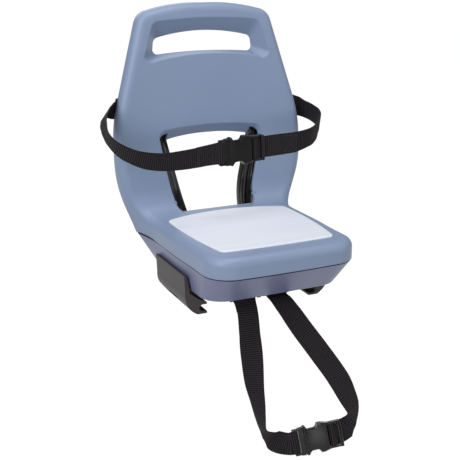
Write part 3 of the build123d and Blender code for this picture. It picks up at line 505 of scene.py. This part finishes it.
def band(name, stations):
    """Woven band as one closed surface.

    P(s, q) = centre(s) + a(q) * across(s) + b(s, q) * out(s). The section (a, b) is a flat rounded
    loop, cos q and sin q raised to the powers LOOP_WIDE and LOOP_HIGH: a spans the width, b is the
    half thickness with a groove at GROOVE_AT of the half width, and a wave along s of one rib's pitch
    that fades over the SELVEDGE, a share of the half width.
    """
    fine, along, across, run, _ = spans(stations)
    out = np.cross(along, across)
    turn = np.linspace(0, 2 * np.pi, LOOP_POINTS, endpoint=False)
    flat = np.sign(np.cos(turn)) * np.abs(np.cos(turn)) ** LOOP_WIDE
    side = np.sign(np.sin(turn)) * np.abs(np.sin(turn)) ** LOOP_HIGH
    edge = np.clip((1 - np.abs(flat)) / SELVEDGE, 0, 1)
    groove = np.exp(-((np.abs(flat) - GROOVE_AT) / GROOVE_HALF) ** 2)
    wave = np.cos(2 * np.pi * run / RIB)[:, None] * edge[None, :] * RIB_DEEP / 2
    half = WEB_T / 2 - RIB_DEEP / 2 - GROOVE_DEEP * groove[None, :]
    lift = side[None, :] * (half + wave)
    points = (fine[:, None, :] + (flat * WEB_W / 2)[None, :, None] * across[:, None, :]
              + lift[:, :, None] * out[:, None, :])
    uv = np.stack(np.broadcast_arrays(run[:, None], (flat * WEB_W / 2)[None, :]), axis=-1)
    made = piece(name, points, closed_faces(*points.shape[:2]), webbing, uv=uv)
    return made, run[-1]


print("band surface ready")

# %% [markdown]
# ## Buckle frames
# Each of the two buckles has a frame of its own, with its centre, its long axis, the axis across it and
# its front, in millimetres. The loop of a strand round one of the buckle's bars is the same everywhere,
# so it is worked out once, in that frame.


# %% Buckle frames
class Buckle:
    """Frame of a buckle: origin, long axis, axis across it, and front."""

    def __init__(self, origin, long_axis, front):
        self.origin = np.array(origin)
        self.front = np.array(front) / np.linalg.norm(front)
        long_axis = np.array(long_axis)
        long_axis = long_axis - self.front * (long_axis @ self.front)
        self.long = long_axis / np.linalg.norm(long_axis)
        self.across = np.cross(self.front, self.long)

    def at(self, x, y, z):
        """Point at x along, y across and z in front, in millimetres."""
        return self.origin + x * self.long + y * self.across + z * self.front


waist = Buckle((-1.5, 15, 193.65), (0.9986, 0, 0.0526), (0, -1, 0))
lower = Buckle((31.75, -157.2, -173.85), (0.964, -0.230, 0.1365), (-0.2598, -0.9268, 0.2732))
TONGUE_BAR = -29.5
LADDER_BAR = 21.5
BAR_HALF, BAR_PLAY = 2.25, 0.3
BAR_TURN = BAR_HALF + BAR_PLAY + WEB_T / MM / 2
BAR_LEAD = ((7.5, -0.95), (3.6, -2.5))


def turn_round(buckle, bar, side, tail, slack=0.0):
    """Stations round a bar: side is the way the band leaves, tail is 1 when its end lies in front.

    The band comes in over the two stations of BAR_LEAD, which are distances from the bar and heights
    over it, goes round on a half circle, and leaves over the same two stations on the bar's other
    face. slack lets the bend stand off the bar's far side by some millimetres.
    """
    lead = np.array(BAR_LEAD)
    angle = np.radians([-90, -45, 0, 45, 90])
    first = np.stack([bar + side * lead[:, 0], -tail * lead[:, 1]], axis=1)
    bend_x = bar - side * (BAR_TURN + slack) * np.cos(angle)
    bend = np.stack([bend_x, -tail * BAR_TURN * np.sin(angle)], axis=1)
    last = np.stack([bar + side * lead[::-1, 0], tail * lead[::-1, 1]], axis=1)
    steps = np.vstack([first, bend, last])
    return [(tuple(buckle.at(x, 0, z)), tuple(buckle.across)) for x, z in steps]


print("waist buckle across", np.round(waist.across, 3), "lower", np.round(lower.across, 3))

# %% [markdown]
# ## Cushioned sockets
# The faces of the two sockets are slightly domed on the real buckles, so that they shine in the
# middle and darken to the edges. The height of the dome falls with the square of the distance from
# the middle, along and across the buckle, and bends the normal of the CAD's flat face.

# %% Domes on the sockets
DOME_RISE = 0.7 * MM
DOME_LONG, DOME_ACROSS = 14 * MM, 17 * MM


def cushion(buckle):
    """Height over the place for one buckle: -rise ((u / long)^2 + (v / across)^2)."""
    def height(finish, place):
        middle = tuple(buckle.origin * MM)
        step = finish.node("ShaderNodeVectorMath", {"operation": "SUBTRACT"}, {0: place, 1: middle})
        u = finish.dot(step, tuple(buckle.long))
        v = finish.dot(step, tuple(buckle.across))
        return u * u * (-DOME_RISE / DOME_LONG ** 2) + v * v * (-DOME_RISE / DOME_ACROSS ** 2)
    return height


SOCKETS = (("waist_buckle_socket", waist, 0.17), ("lower_buckle_socket", lower, 0.27))
for node, buckle, shine in SOCKETS:
    domed = moulded(node + "_plastic", specular=shine, dome=cushion(buckle), **BLACK)
    wear(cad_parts[node], domed)
    print(node, "domed by", DOME_RISE / MM, "mm")

# %% [markdown]
# ## Routes of the four strands
# A station is a point of the band's middle and the direction across the band, in millimetres. The
# stations follow the routes of the CAD strands. Some are moved by up to 6 mm, so that both edges of a
# strand lie where the picture shows them.

# %% Waist routes
FLAT_UP = (0, 0.08, 1)
waist_left_route = [
    ((-66, 17.3, 188.8), (-0.08, -0.21, 0.97)),
    ((-52, 16.3, 190.5), (-0.07, -0.17, 0.98)),
    *turn_round(waist, TONGUE_BAR, -1, -1),
    ((-52, 14.4, 190.5), (-0.07, -0.17, 0.98)),
    ((-66, 15.3, 188.8), (-0.08, -0.21, 0.97)),
    ((-87.7, 18, 186.7), (-0.10, -0.28, 0.95)),
    ((-112.3, 22, 185.7), (-0.04, -0.41, 0.91)),
    ((-135.1, 28, 188.5), (-0.02, -0.50, 0.86)),
    ((-154.8, 36.9, 195.4), (0, -0.67, 0.74)),
    ((-169.2, 48.6, 204.7), (-0.23, -0.55, 0.81)),
    ((-177.2, 60.3, 216.4), (-0.13, -0.73, 0.67)),
    ((-176.3, 74.6, 226.8), (-0.05, -0.80, 0.59)),
    ((-171.5, 91.8, 233.5), (-0.01, -0.84, 0.54)),
    ((-165.3, 108.1, 237.4), (0.03, -0.86, 0.51)),
    ((-158.1, 122.9, 240.4), (0.14, -0.77, 0.63)),
    ((-149.6, 132.0, 242.9), (0.16, -0.62, 0.77)),
    ((-143.6, 134.8, 242.6), (0.10, -0.28, 0.95)),
    ((-136.5, 137.2, 243.0), (0.10, 0.08, 0.99)),
    ((-128, 136.4, 242.5), FLAT_UP),
    ((-112, 137.8, 240.5), FLAT_UP),
    ((-97.5, 139.4, 240), FLAT_UP)]
waist_right_route = [
    ((92, 21.2, 196.4), (-0.02, -0.05, 1)),
    ((63, 16.2, 196.3), (-0.05, 0, 1)),
    ((44, 14.3, 196.0), (-0.04, 0, 1)),
    *turn_round(waist, LADDER_BAR, 1, 1),
    ((44, 16.1, 196.0), (-0.04, 0, 1)),
    ((63, 18.1, 196.3), (-0.05, 0, 1)),
    ((92, 23.3, 196.4), (-0.02, -0.05, 1)),
    ((118.8, 32, 199.3), (-0.29, -0.37, 0.88)),
    ((138.2, 48, 202), (-0.42, -0.58, 0.70)),
    ((153.6, 66, 206.8), (-0.40, -0.67, 0.62)),
    ((166.2, 84, 211.4), (-0.25, -0.61, 0.75)),
    ((171.2, 100, 215.1), (-0.11, -0.50, 0.86)),
    ((168.8, 116, 220.4), (-0.12, -0.42, 0.90)),
    ((162.5, 128, 224.3), (-0.15, -0.33, 0.93)),
    ((154.5, 135.0, 227.9), (-0.12, -0.12, 0.98)),
    ((142, 136.2, 232.2), (-0.03, 0.02, 1)),
    ((128, 136.4, 237.8), FLAT_UP),
    ((112, 137.8, 239.5), FLAT_UP),
    ((97.5, 139.4, 240), FLAT_UP)]
print(len(waist_left_route), "and", len(waist_right_route), "stations")

# %% Lower routes
BAR_Y = -70.0
BAR_Z = 12.0
SIDEWAYS = (-1, 0, 0)
TONGUE_SLACK = 1.1
tongue_turn = turn_round(lower, TONGUE_BAR, -1, -1, TONGUE_SLACK)
lower_left_route = [
    ((-37.3, BAR_Y - 12.4, -5.0), (-1, 0.03, 0)),
    ((-36.8, BAR_Y - 6.3, 2.0), SIDEWAYS),
    ((-36.5, BAR_Y + 1.2, BAR_Z - 4.7), SIDEWAYS),
    ((-36.5, BAR_Y + 3.7, BAR_Z - 2.7), SIDEWAYS),
    ((-36.5, BAR_Y + 4.4, BAR_Z + 0.6), SIDEWAYS),
    ((-36.5, BAR_Y + 2.6, BAR_Z + 3.55), SIDEWAYS),
    ((-36.5, BAR_Y - 0.4, BAR_Z + 4.35), SIDEWAYS),
    ((-36.5, BAR_Y - 3.2, BAR_Z + 3.05), SIDEWAYS),
    ((-36.5, BAR_Y - 4.45, BAR_Z), SIDEWAYS),
    ((-36.7, -77.4, 4.6), (-1, 0.02, 0)),
    ((-37.3, -82.2, -1.0), (-1, 0.04, 0.03)),
    ((-38.2, -87.8, -10.0), (-0.99, 0.07, 0.06)),
    ((-39.3, -95.3, -34.2), (-0.98, 0.13, 0.13)),
    ((-40.2, -104.8, -66.6), (-0.80, 0.56, -0.10)),
    ((-41.2, -114.8, -101.0), (-0.51, 0.85, -0.12)),
    ((-39.3, -119.4, -120.7), (-0.30, 0.93, -0.19)),
    ((-37.7, -124.9, -142.9), (-0.06, 0.94, -0.33)),
    ((-36.5, -130.7, -157.7), (0.13, 0.87, -0.48)),
    ((-32.9, -135.7, -165.0), (0.26, 0.23, -0.94)),
    ((-27.3, -142.3, -170.5), (0.13, -0.07, -0.99)),
    *[(spot, tuple(-np.array(across))) for spot, across in reversed(tongue_turn)],
    ((-21.5, -141.2, -174.6), (-0.12, -0.12, -0.98))]
lower_right_route = [
    ((71.5, -169.3, -160.6), (-0.16, 0.26, 0.95)),
    *turn_round(lower, LADDER_BAR, 1, 1),
    ((66.0, -165.2, -166.4), (-0.07, 0.28, 0.95)),
    ((72.3, -166.6, -161.2), (-0.16, 0.22, 0.95)),
    ((78.0, -165.6, -156.5), (-0.40, -0.02, 0.92)),
    ((82.4, -164.6, -151.2), (-0.63, -0.26, 0.73)),
    ((85.4, -162.9, -145.9), (-0.80, -0.39, 0.46)),
    ((85.3, -159.7, -136.3), (-0.94, -0.28, 0.22)),
    ((79.2, -154.3, -119.6), (-0.99, -0.10, -0.12)),
    ((71.7, -146.5, -100.5), (-0.88, 0.11, -0.46)),
    ((49.3, -128.4, -61.4), (-0.87, 0.10, -0.48)),
    ((29.2, -112.9, -28.5), (-0.94, 0.02, -0.35)),
    ((15.5, -101.9, -4.5), (-0.97, -0.10, -0.18)),
    ((9.3, -91.0, 7.4), (-1, -0.02, -0.03)),
    ((8, BAR_Y - 6.2, BAR_Z + 0.3), SIDEWAYS),
    ((8, BAR_Y - 3.2, BAR_Z + 3.05), SIDEWAYS),
    ((8, BAR_Y - 0.4, BAR_Z + 4.35), SIDEWAYS),
    ((8, BAR_Y + 2.6, BAR_Z + 3.55), SIDEWAYS),
    ((8, BAR_Y + 4.4, BAR_Z + 0.6), SIDEWAYS),
    ((8, BAR_Y + 3.7, BAR_Z - 2.7), SIDEWAYS),
    ((8, BAR_Y + 0.8, BAR_Z - 4.7), SIDEWAYS)]
print(len(lower_left_route), "and", len(lower_right_route), "stations")

# %% Make the four strands
# A strand that ends at a tongue is listed with a stretch, given by its two ends in metres; such strands
# stay where they are, and the others are attached to the seat.
STRANDS = (
    ("waist_strap_left", waist_left_route, "anchor_plate_left", "waist_tongue",
     ((-0.15, 0.118, 0.21), (-0.15, 0.026, 0.21))),
    ("waist_strap_right", waist_right_route, "anchor_plate_right", None, None),
    ("lower_strap_left", lower_left_route, "strap_bracket", "lower_tongue",
     ((-0.04, -0.11, -0.03), (-0.04, -0.11, -0.15))),
    ("lower_strap_right", lower_right_route, "strap_bracket", None, None),
)
for node, route, carrier, tongue, stretch in STRANDS:
    strand, length = band(node + "_web", route)
    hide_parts(node)
    if stretch is None:
        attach(strand, "seat")
    else:
        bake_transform(strand)
    print(node, "band length", round(length, 4), "m")

# %% [markdown]
# ## Stitching
# Where a strand comes back from its buckle, both layers are sewn together with a box and a cross.
# Each stitch is a small ellipsoid of thread that lies on the face of the band. A box is laid out on
# the flat band, in run and width, and then carried to the band's own path.


# %% Thread
TWISTS_PER_M = 2200.0
thread_finish = Finish(bpy.data.materials.new("sewing_thread"))
twist = thread_finish.noise(thread_finish.place(), TWISTS_PER_M, 2.0)
thread = thread_finish.shader(
    Base_Color=thread_finish.tint(twist, srgb(20, 19, 21), srgb(40, 38, 41)),
    Roughness=0.42 + twist * 0.15,
    Specular_IOR_Level=0.4)
STITCH = 2.6 * MM
STITCH_GAP = 0.9 * MM
STITCH_WIDE = 0.42 * MM
STITCH_HIGH = 0.34 * MM
STITCH_SUNK = 0.05 * MM
STITCH_SIDES, STITCH_RINGS, STITCH_TIP = 8, 7, 0.12
BOX_WIDE = 23 * MM


def box_and_cross(start, end):
    """Middles and directions of the stitches of a box with its two diagonals, on the flat band."""
    half = BOX_WIDE / 2
    a, b, c, d = np.array([(start, -half), (end, -half), (end, half), (start, half)])
    middles, ways = [], []
    for tail, head in ((a, b), (b, c), (c, d), (d, a), (a, c), (b, d)):
        length = np.linalg.norm(head - tail)
        count = max(2, int(round(length / (STITCH + STITCH_GAP))))
        share = (np.arange(count) + 0.5) / count
        middles.append(tail + (head - tail) * share[:, None])
        ways.append(np.repeat(((head - tail) / length)[None], count, axis=0))
    return np.concatenate(middles), np.concatenate(ways)


def stitching(name, stations, first, last, body):
    """Box of stitches on the outer face of a fold, between two stations with shifts in millimetres.

    Each stitch is P(u, v) = middle + L/2 cos v way + W sin v cos u side + H sin v sin u out.
    """
    fine, along, across, run, marks = spans(stations)
    start, end = (marks[k] + shift * MM for k, shift in (first, last))
    flat, way = box_and_cross(start, end)

    def carried(values):
        return np.stack([np.interp(flat[:, 0], run, values[:, k]) for k in range(3)], axis=1)

    ahead, beside = carried(along), carried(across)
    out = np.cross(beside, ahead)
    middle = carried(fine) + beside * flat[:, 1:] + out * (WEB_T / 2 - STITCH_SUNK)
    long_way = ahead * way[:, :1] + beside * way[:, 1:]
    side = np.cross(out, long_way)
    u = np.linspace(0, 2 * np.pi, STITCH_SIDES, endpoint=False)
    v = np.linspace(STITCH_TIP, np.pi - STITCH_TIP, STITCH_RINGS)
    reach = STITCH / 2 * np.cos(v)[:, None, None]
    wide = STITCH_WIDE * (np.sin(v)[:, None] * np.cos(u))[:, :, None]
    high = STITCH_HIGH * (np.sin(v)[:, None] * np.sin(u))[:, :, None]
    points = (middle[:, None, None] + reach * long_way[:, None, None]
              + wide * side[:, None, None] + high * out[:, None, None])
    shell = closed_faces(len(v), len(u), flip=True)
    offsets = np.arange(len(middle)) * len(u) * len(v)
    faces = [[k + offset for k in face] for offset in offsets.tolist() for face in shell]
    made = piece(name, points, faces, thread)
    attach(made, body)
    print(name, len(middle), "stitches")


# %% Sew the boxes
STITCH_BOXES = (
    ("waist_left_front", waist_left_route, (11, -8), (12, -1), "waist_tongue"),
    ("waist_left_back", waist_left_route, (0, 1), (1, 8), "waist_tongue"),
    ("waist_right_front", waist_right_route, (0, 1.5), (0, 24), "seat"),
    ("waist_right_back", waist_right_route, (13, 5), (14, -1.5), "seat"),
    ("lower_left_front", lower_left_route, (19, 8.5), (20, -0.5), "lower_tongue"),
    ("lower_left_back", lower_left_route, (28, 0.5), (29, -0.8), "lower_tongue"),
)
for name, route, first, last, body in STITCH_BOXES:
    stitching(name + "_stitching", route, first, last, body)

# %% [markdown]
# ## Channels beside the back opening
# Two glossy black channels line the lower back opening and hold the backrest stiff. The moulding
# overlaps them, so from the front only their inner half shows: a round edge, a flute and a second
# ridge. Behind, each is an open channel with the screw heads in it. A section is carried up the
# channel. It bends forward at the foot as the back does, and swells there on its outer half to meet
# the moulding. The top end is rounded by drawing the inner edge in. Two sleeves cover the pillars of
# the moulding that the channel is screwed to. All sizes here are in millimetres.


# %% Channel surface
STRUT_FOOT, STRUT_TOP = -61.0, 73.0
STRUT_IN, STRUT_OUT = -13.2, 17.0
STRUT_DEEP, STRUT_WEB, STRUT_SKIN = 14.0, 4.0, 2.5
STRUT_ROUND = 4.5
STRUT_TURN = 5.0
STRUT_BEND, STRUT_SPREAD, BEND_FROM = 13.0, 2.0, -12.0
SWELL, SWELL_FROM, SWELL_OVER = 5.0, 5.0, 30.0
SWELL_X, SWELL_WIDE = 2.0, 8.0
END_WALL = 2.5
FRONT_POINTS, FRONT_CROWD = 44, 1.5
FOOT_ROWS, MIDDLE_ROWS, TOP_ROWS = 4, 40, 14
FOOT_UPTO, MIDDLE_FROM, MIDDLE_UPTO = -58.0, -56.0, 62.0
LIP_COVER, LIP_FROM, LIP_FULL = 4.5, 52.0, 61.0
FLUTE_X, FLUTE_HALF, FLUTE_DEEP = -2.0, 2.6, 1.8
STRUT_SCREWS = ((38, 5.8), (-38, 10.5))
SCREW_X = 6.2
SLEEVE, SLEEVE_BACK, SLEEVE_SIDES = 3.9, -3.9, 24
STRUT_CREASE = 35
strut_origin = np.array((68, 120.4, 140.5))
strut_x = np.array((0.9698, 0, -0.2313))
strut_z = np.array((0.0175, -0.9943, 0.0733))
strut_y = np.cross(strut_z, strut_x)


def strut_section(inner, web):
    """Closed section of a channel for each height: front from inner to outer edge, then back.

    The front falls off round the inner edge on a quarter circle and dips in a bell-shaped flute. Its
    points crowd towards the inner edge by the power FRONT_CROWD. inner is the inner edge and web the
    level of the channel's floor, both for each height.
    """
    share = np.linspace(0, 1, FRONT_POINTS) ** FRONT_CROWD
    front_x = inner[:, None] + (STRUT_OUT - inner)[:, None] * share
    edge = np.clip((front_x - inner[:, None]) / STRUT_ROUND, 0, 1)
    front_z = STRUT_ROUND * (np.sqrt(np.maximum(0, 1 - (1 - edge) ** 2)) - 1)
    front_z = front_z - FLUTE_DEEP * np.exp(-((front_x - FLUTE_X) / FLUTE_HALF) ** 2) * edge
    ones = np.ones_like(inner)
    low = -STRUT_DEEP * ones
    corners_x = [STRUT_OUT * ones, (STRUT_OUT - STRUT_SKIN) * ones, (STRUT_OUT - STRUT_SKIN) * ones,
                 inner + STRUT_SKIN, inner + STRUT_SKIN, inner]
    corners_z = [low, low, web, web, low, low]
    x = np.concatenate([front_x, np.stack(corners_x, axis=1)], axis=1)
    z = np.concatenate([front_z, np.stack(corners_z, axis=1)], axis=1)
    return x, z


top_turn = np.sin(np.linspace(0, np.pi / 2, TOP_ROWS))
height = np.concatenate([np.linspace(STRUT_FOOT, FOOT_UPTO, FOOT_ROWS),
                         np.linspace(MIDDLE_FROM, MIDDLE_UPTO, MIDDLE_ROWS),
                         STRUT_TOP - STRUT_TURN * (1 - top_turn)])
drawn = np.clip((height - STRUT_TOP + STRUT_TURN) / STRUT_TURN, 0, 1)
covered = np.clip((height - LIP_FROM) / (LIP_FULL - LIP_FROM), 0, 1)
strut_inner = STRUT_IN + STRUT_TURN * (1 - np.sqrt(1 - drawn ** 2)) - LIP_COVER * covered
from_end = np.minimum(height - STRUT_FOOT, STRUT_TOP - height)
strut_web = -STRUT_DEEP + (STRUT_DEEP - STRUT_WEB) * np.clip(from_end / END_WALL, 0, 1)
section_x, section_z = strut_section(strut_inner, strut_web)
bent = np.clip((BEND_FROM - height) / (BEND_FROM - STRUT_FOOT), 0, 1)[:, None] ** 2
near_foot = np.clip((SWELL_FROM - height) / SWELL_OVER, 0, 1)[:, None]
in_front = np.arange(section_x.shape[1]) < FRONT_POINTS
outer = np.clip((section_x - SWELL_X) / SWELL_WIDE, 0, 1) * in_front
section_z = section_z + STRUT_BEND * bent + SWELL * near_foot * outer ** 2 * (3 - 2 * outer)
section_x = section_x + STRUT_SPREAD * bent
print("channel of", section_x.shape, "points")

# %% Make both channels
around = np.linspace(0, 2 * np.pi, SLEEVE_SIDES, endpoint=False)
strut_heights = np.broadcast_to(height[:, None], section_x.shape)
local = np.stack([section_x, strut_heights, section_z], axis=-1).reshape(-1, 3)
strut_faces = closed_faces(*section_x.shape, flip=True)
for screw_y, reach in STRUT_SCREWS:
    offset = len(local)
    rim = np.stack([SCREW_X + SLEEVE * np.cos(around), screw_y + SLEEVE * np.sin(around)], axis=1)
    ends = [np.column_stack([rim, np.full(SLEEVE_SIDES, level)]) for level in (SLEEVE_BACK, reach)]
    local = np.vstack([local, *ends])
    strut_faces += [[k + offset for k in face] for face in closed_faces(2, SLEEVE_SIDES)]
right_points = (strut_origin + local @ np.stack([strut_x, strut_y, strut_z])) * MM
for node, side in (("right_strut", 1), ("left_strut", -1)):
    faces = strut_faces if side == 1 else [face[::-1] for face in strut_faces]
    points = right_points * (side, 1, 1)
    strut = piece(node + "_channel", points, faces, black_gloss, crease=STRUT_CREASE)
    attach(strut, "seat")
    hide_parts(node)
    print(strut.name, len(faces), "faces")

# %% [markdown]
# ## Seat pad
# The pad is a thin pale sheet of foam with a cover of fine cross ribs, set into the deck. It is one
# closed surface: the outline is drawn in to the middle in rings, the edge is rounded over, and the
# top is crowned by less than a millimetre. It is modelled directly, because a cushion simulation needs
# depth.


# %% Pad finish
PAD_ROW = 2.3 * MM
STREAKS_PER_M = (6.0, 130.0, 1.0)
FLUFF_PER_M = 1400.0
cover = Finish(bpy.data.materials.new("pad_cover"))
cover_place = cover.place()
rows = (cover.axis(cover_place, "Y") * (2 * np.pi / PAD_ROW)).sine() * 0.5 + 0.5
streaks = cover.noise(cover.stretch(cover_place, STREAKS_PER_M), 1.0, 3.0)
fluff = cover.noise(cover_place, FLUFF_PER_M, 2.0)
pad_cover = cover.shader(
    Base_Color=cover.tint(rows * 0.25 + streaks * 0.75, srgb(212, 218, 231), srgb(228, 232, 241)),
    Roughness=0.62 + fluff * 0.12,
    Specular_IOR_Level=0.35,
    Sheen_Weight=0.1,
    Normal=cover.bump(rows * 0.6 + fluff * 0.4, 0.10 * MM))
print("pad cover ready")

# %% Pad outline
PAD_COUNT = 520
LEVEL = 0.02 * MM
pad_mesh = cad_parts["seat_pad"].data
pad_points = np.zeros(len(pad_mesh.vertices) * 3)
pad_mesh.vertices.foreach_get("co", pad_points)
pad_points = pad_points.reshape(-1, 3)
pad_low, pad_high = (np.array(corner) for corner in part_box("seat_pad"))
pad_mid = (pad_low + pad_high)[:2] / 2
underside = pad_points[pad_points[:, 2] < pad_low[2] + LEVEL]
foot = np.unique(np.round(underside[:, :2], 6), axis=0)
foot = foot[np.argsort(np.arctan2(*(foot - pad_mid).T[::-1]))]
closed = np.vstack([foot, foot[:1]])
foot_run = np.append(0, np.cumsum(np.linalg.norm(np.diff(closed, axis=0), axis=1)))
even = np.linspace(0, foot_run[-1], PAD_COUNT, endpoint=False)
pad_loop = np.stack([np.interp(even, foot_run, closed[:, k]) for k in (0, 1)], axis=1)
pad_slope = np.roll(pad_loop, -1, axis=0) - np.roll(pad_loop, 1, axis=0)
pad_slope /= np.linalg.norm(pad_slope, axis=1)[:, None]
pad_inward = np.stack([-pad_slope[:, 1], pad_slope[:, 0]], axis=1)
print("pad outline", round(foot_run[-1], 4), "m round")

# %% Pad surface
PAD_ROUND = 2.2 * MM
PAD_CROWN = 0.8 * MM
CROWN_OVER = 60 * MM
EDGE_BAND = 8 * MM
ROUND_RINGS, BAND_RINGS, TOP_RINGS = 9, 7, 40
MIDDLE_SHARE = 0.02
quarter = np.linspace(0, np.pi / 2, ROUND_RINGS)
inner = np.linspace(1, MIDDLE_SHARE, TOP_RINGS)
flat_in = np.linspace(PAD_ROUND, EDGE_BAND, BAND_RINGS + 1)[1:]
edge_in = np.concatenate([PAD_ROUND * (1 - np.cos(quarter)), flat_in])
edge_up = np.concatenate([pad_high[2] - PAD_ROUND * (1 - np.sin(quarter)),
                          np.full(BAND_RINGS, pad_high[2])])


def crown(inset):
    """Extra height at a distance from the edge: a smooth rise to the crown over CROWN_OVER."""
    t = np.clip(inset / CROWN_OVER, 0, 1)
    return PAD_CROWN * t * t * (3 - 2 * t)


rim_rings = pad_loop[None] + edge_in[:, None, None] * pad_inward[None]
rim_height = np.broadcast_to((edge_up + crown(edge_in))[:, None], rim_rings.shape[:2])
top_rings = pad_mid + (rim_rings[-1] - pad_mid)[None] * inner[1:, None, None]
top_reach = np.linalg.norm(rim_rings[-1] - pad_mid, axis=1)
top_height = pad_high[2] + crown(EDGE_BAND + (1 - inner[1:])[:, None] * top_reach[None])
base_share = np.array([MIDDLE_SHARE, 0.5, 1.0])
base_rings = pad_mid + (pad_loop - pad_mid)[None] * base_share[:, None, None]
base_height = np.full(base_rings.shape[:2], pad_low[2])
rings = np.concatenate([base_rings, rim_rings, top_rings])
heights = np.concatenate([base_height, rim_height, top_height])
pad_surface = np.concatenate([rings, heights[:, :, None]], axis=2)
pad_faces = closed_faces(*pad_surface.shape[:2])
pad = piece("seat_pad_cover", pad_surface, pad_faces, pad_cover)
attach(pad, "seat")
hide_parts("seat_pad")
print("pad of", len(pad_faces), "faces")
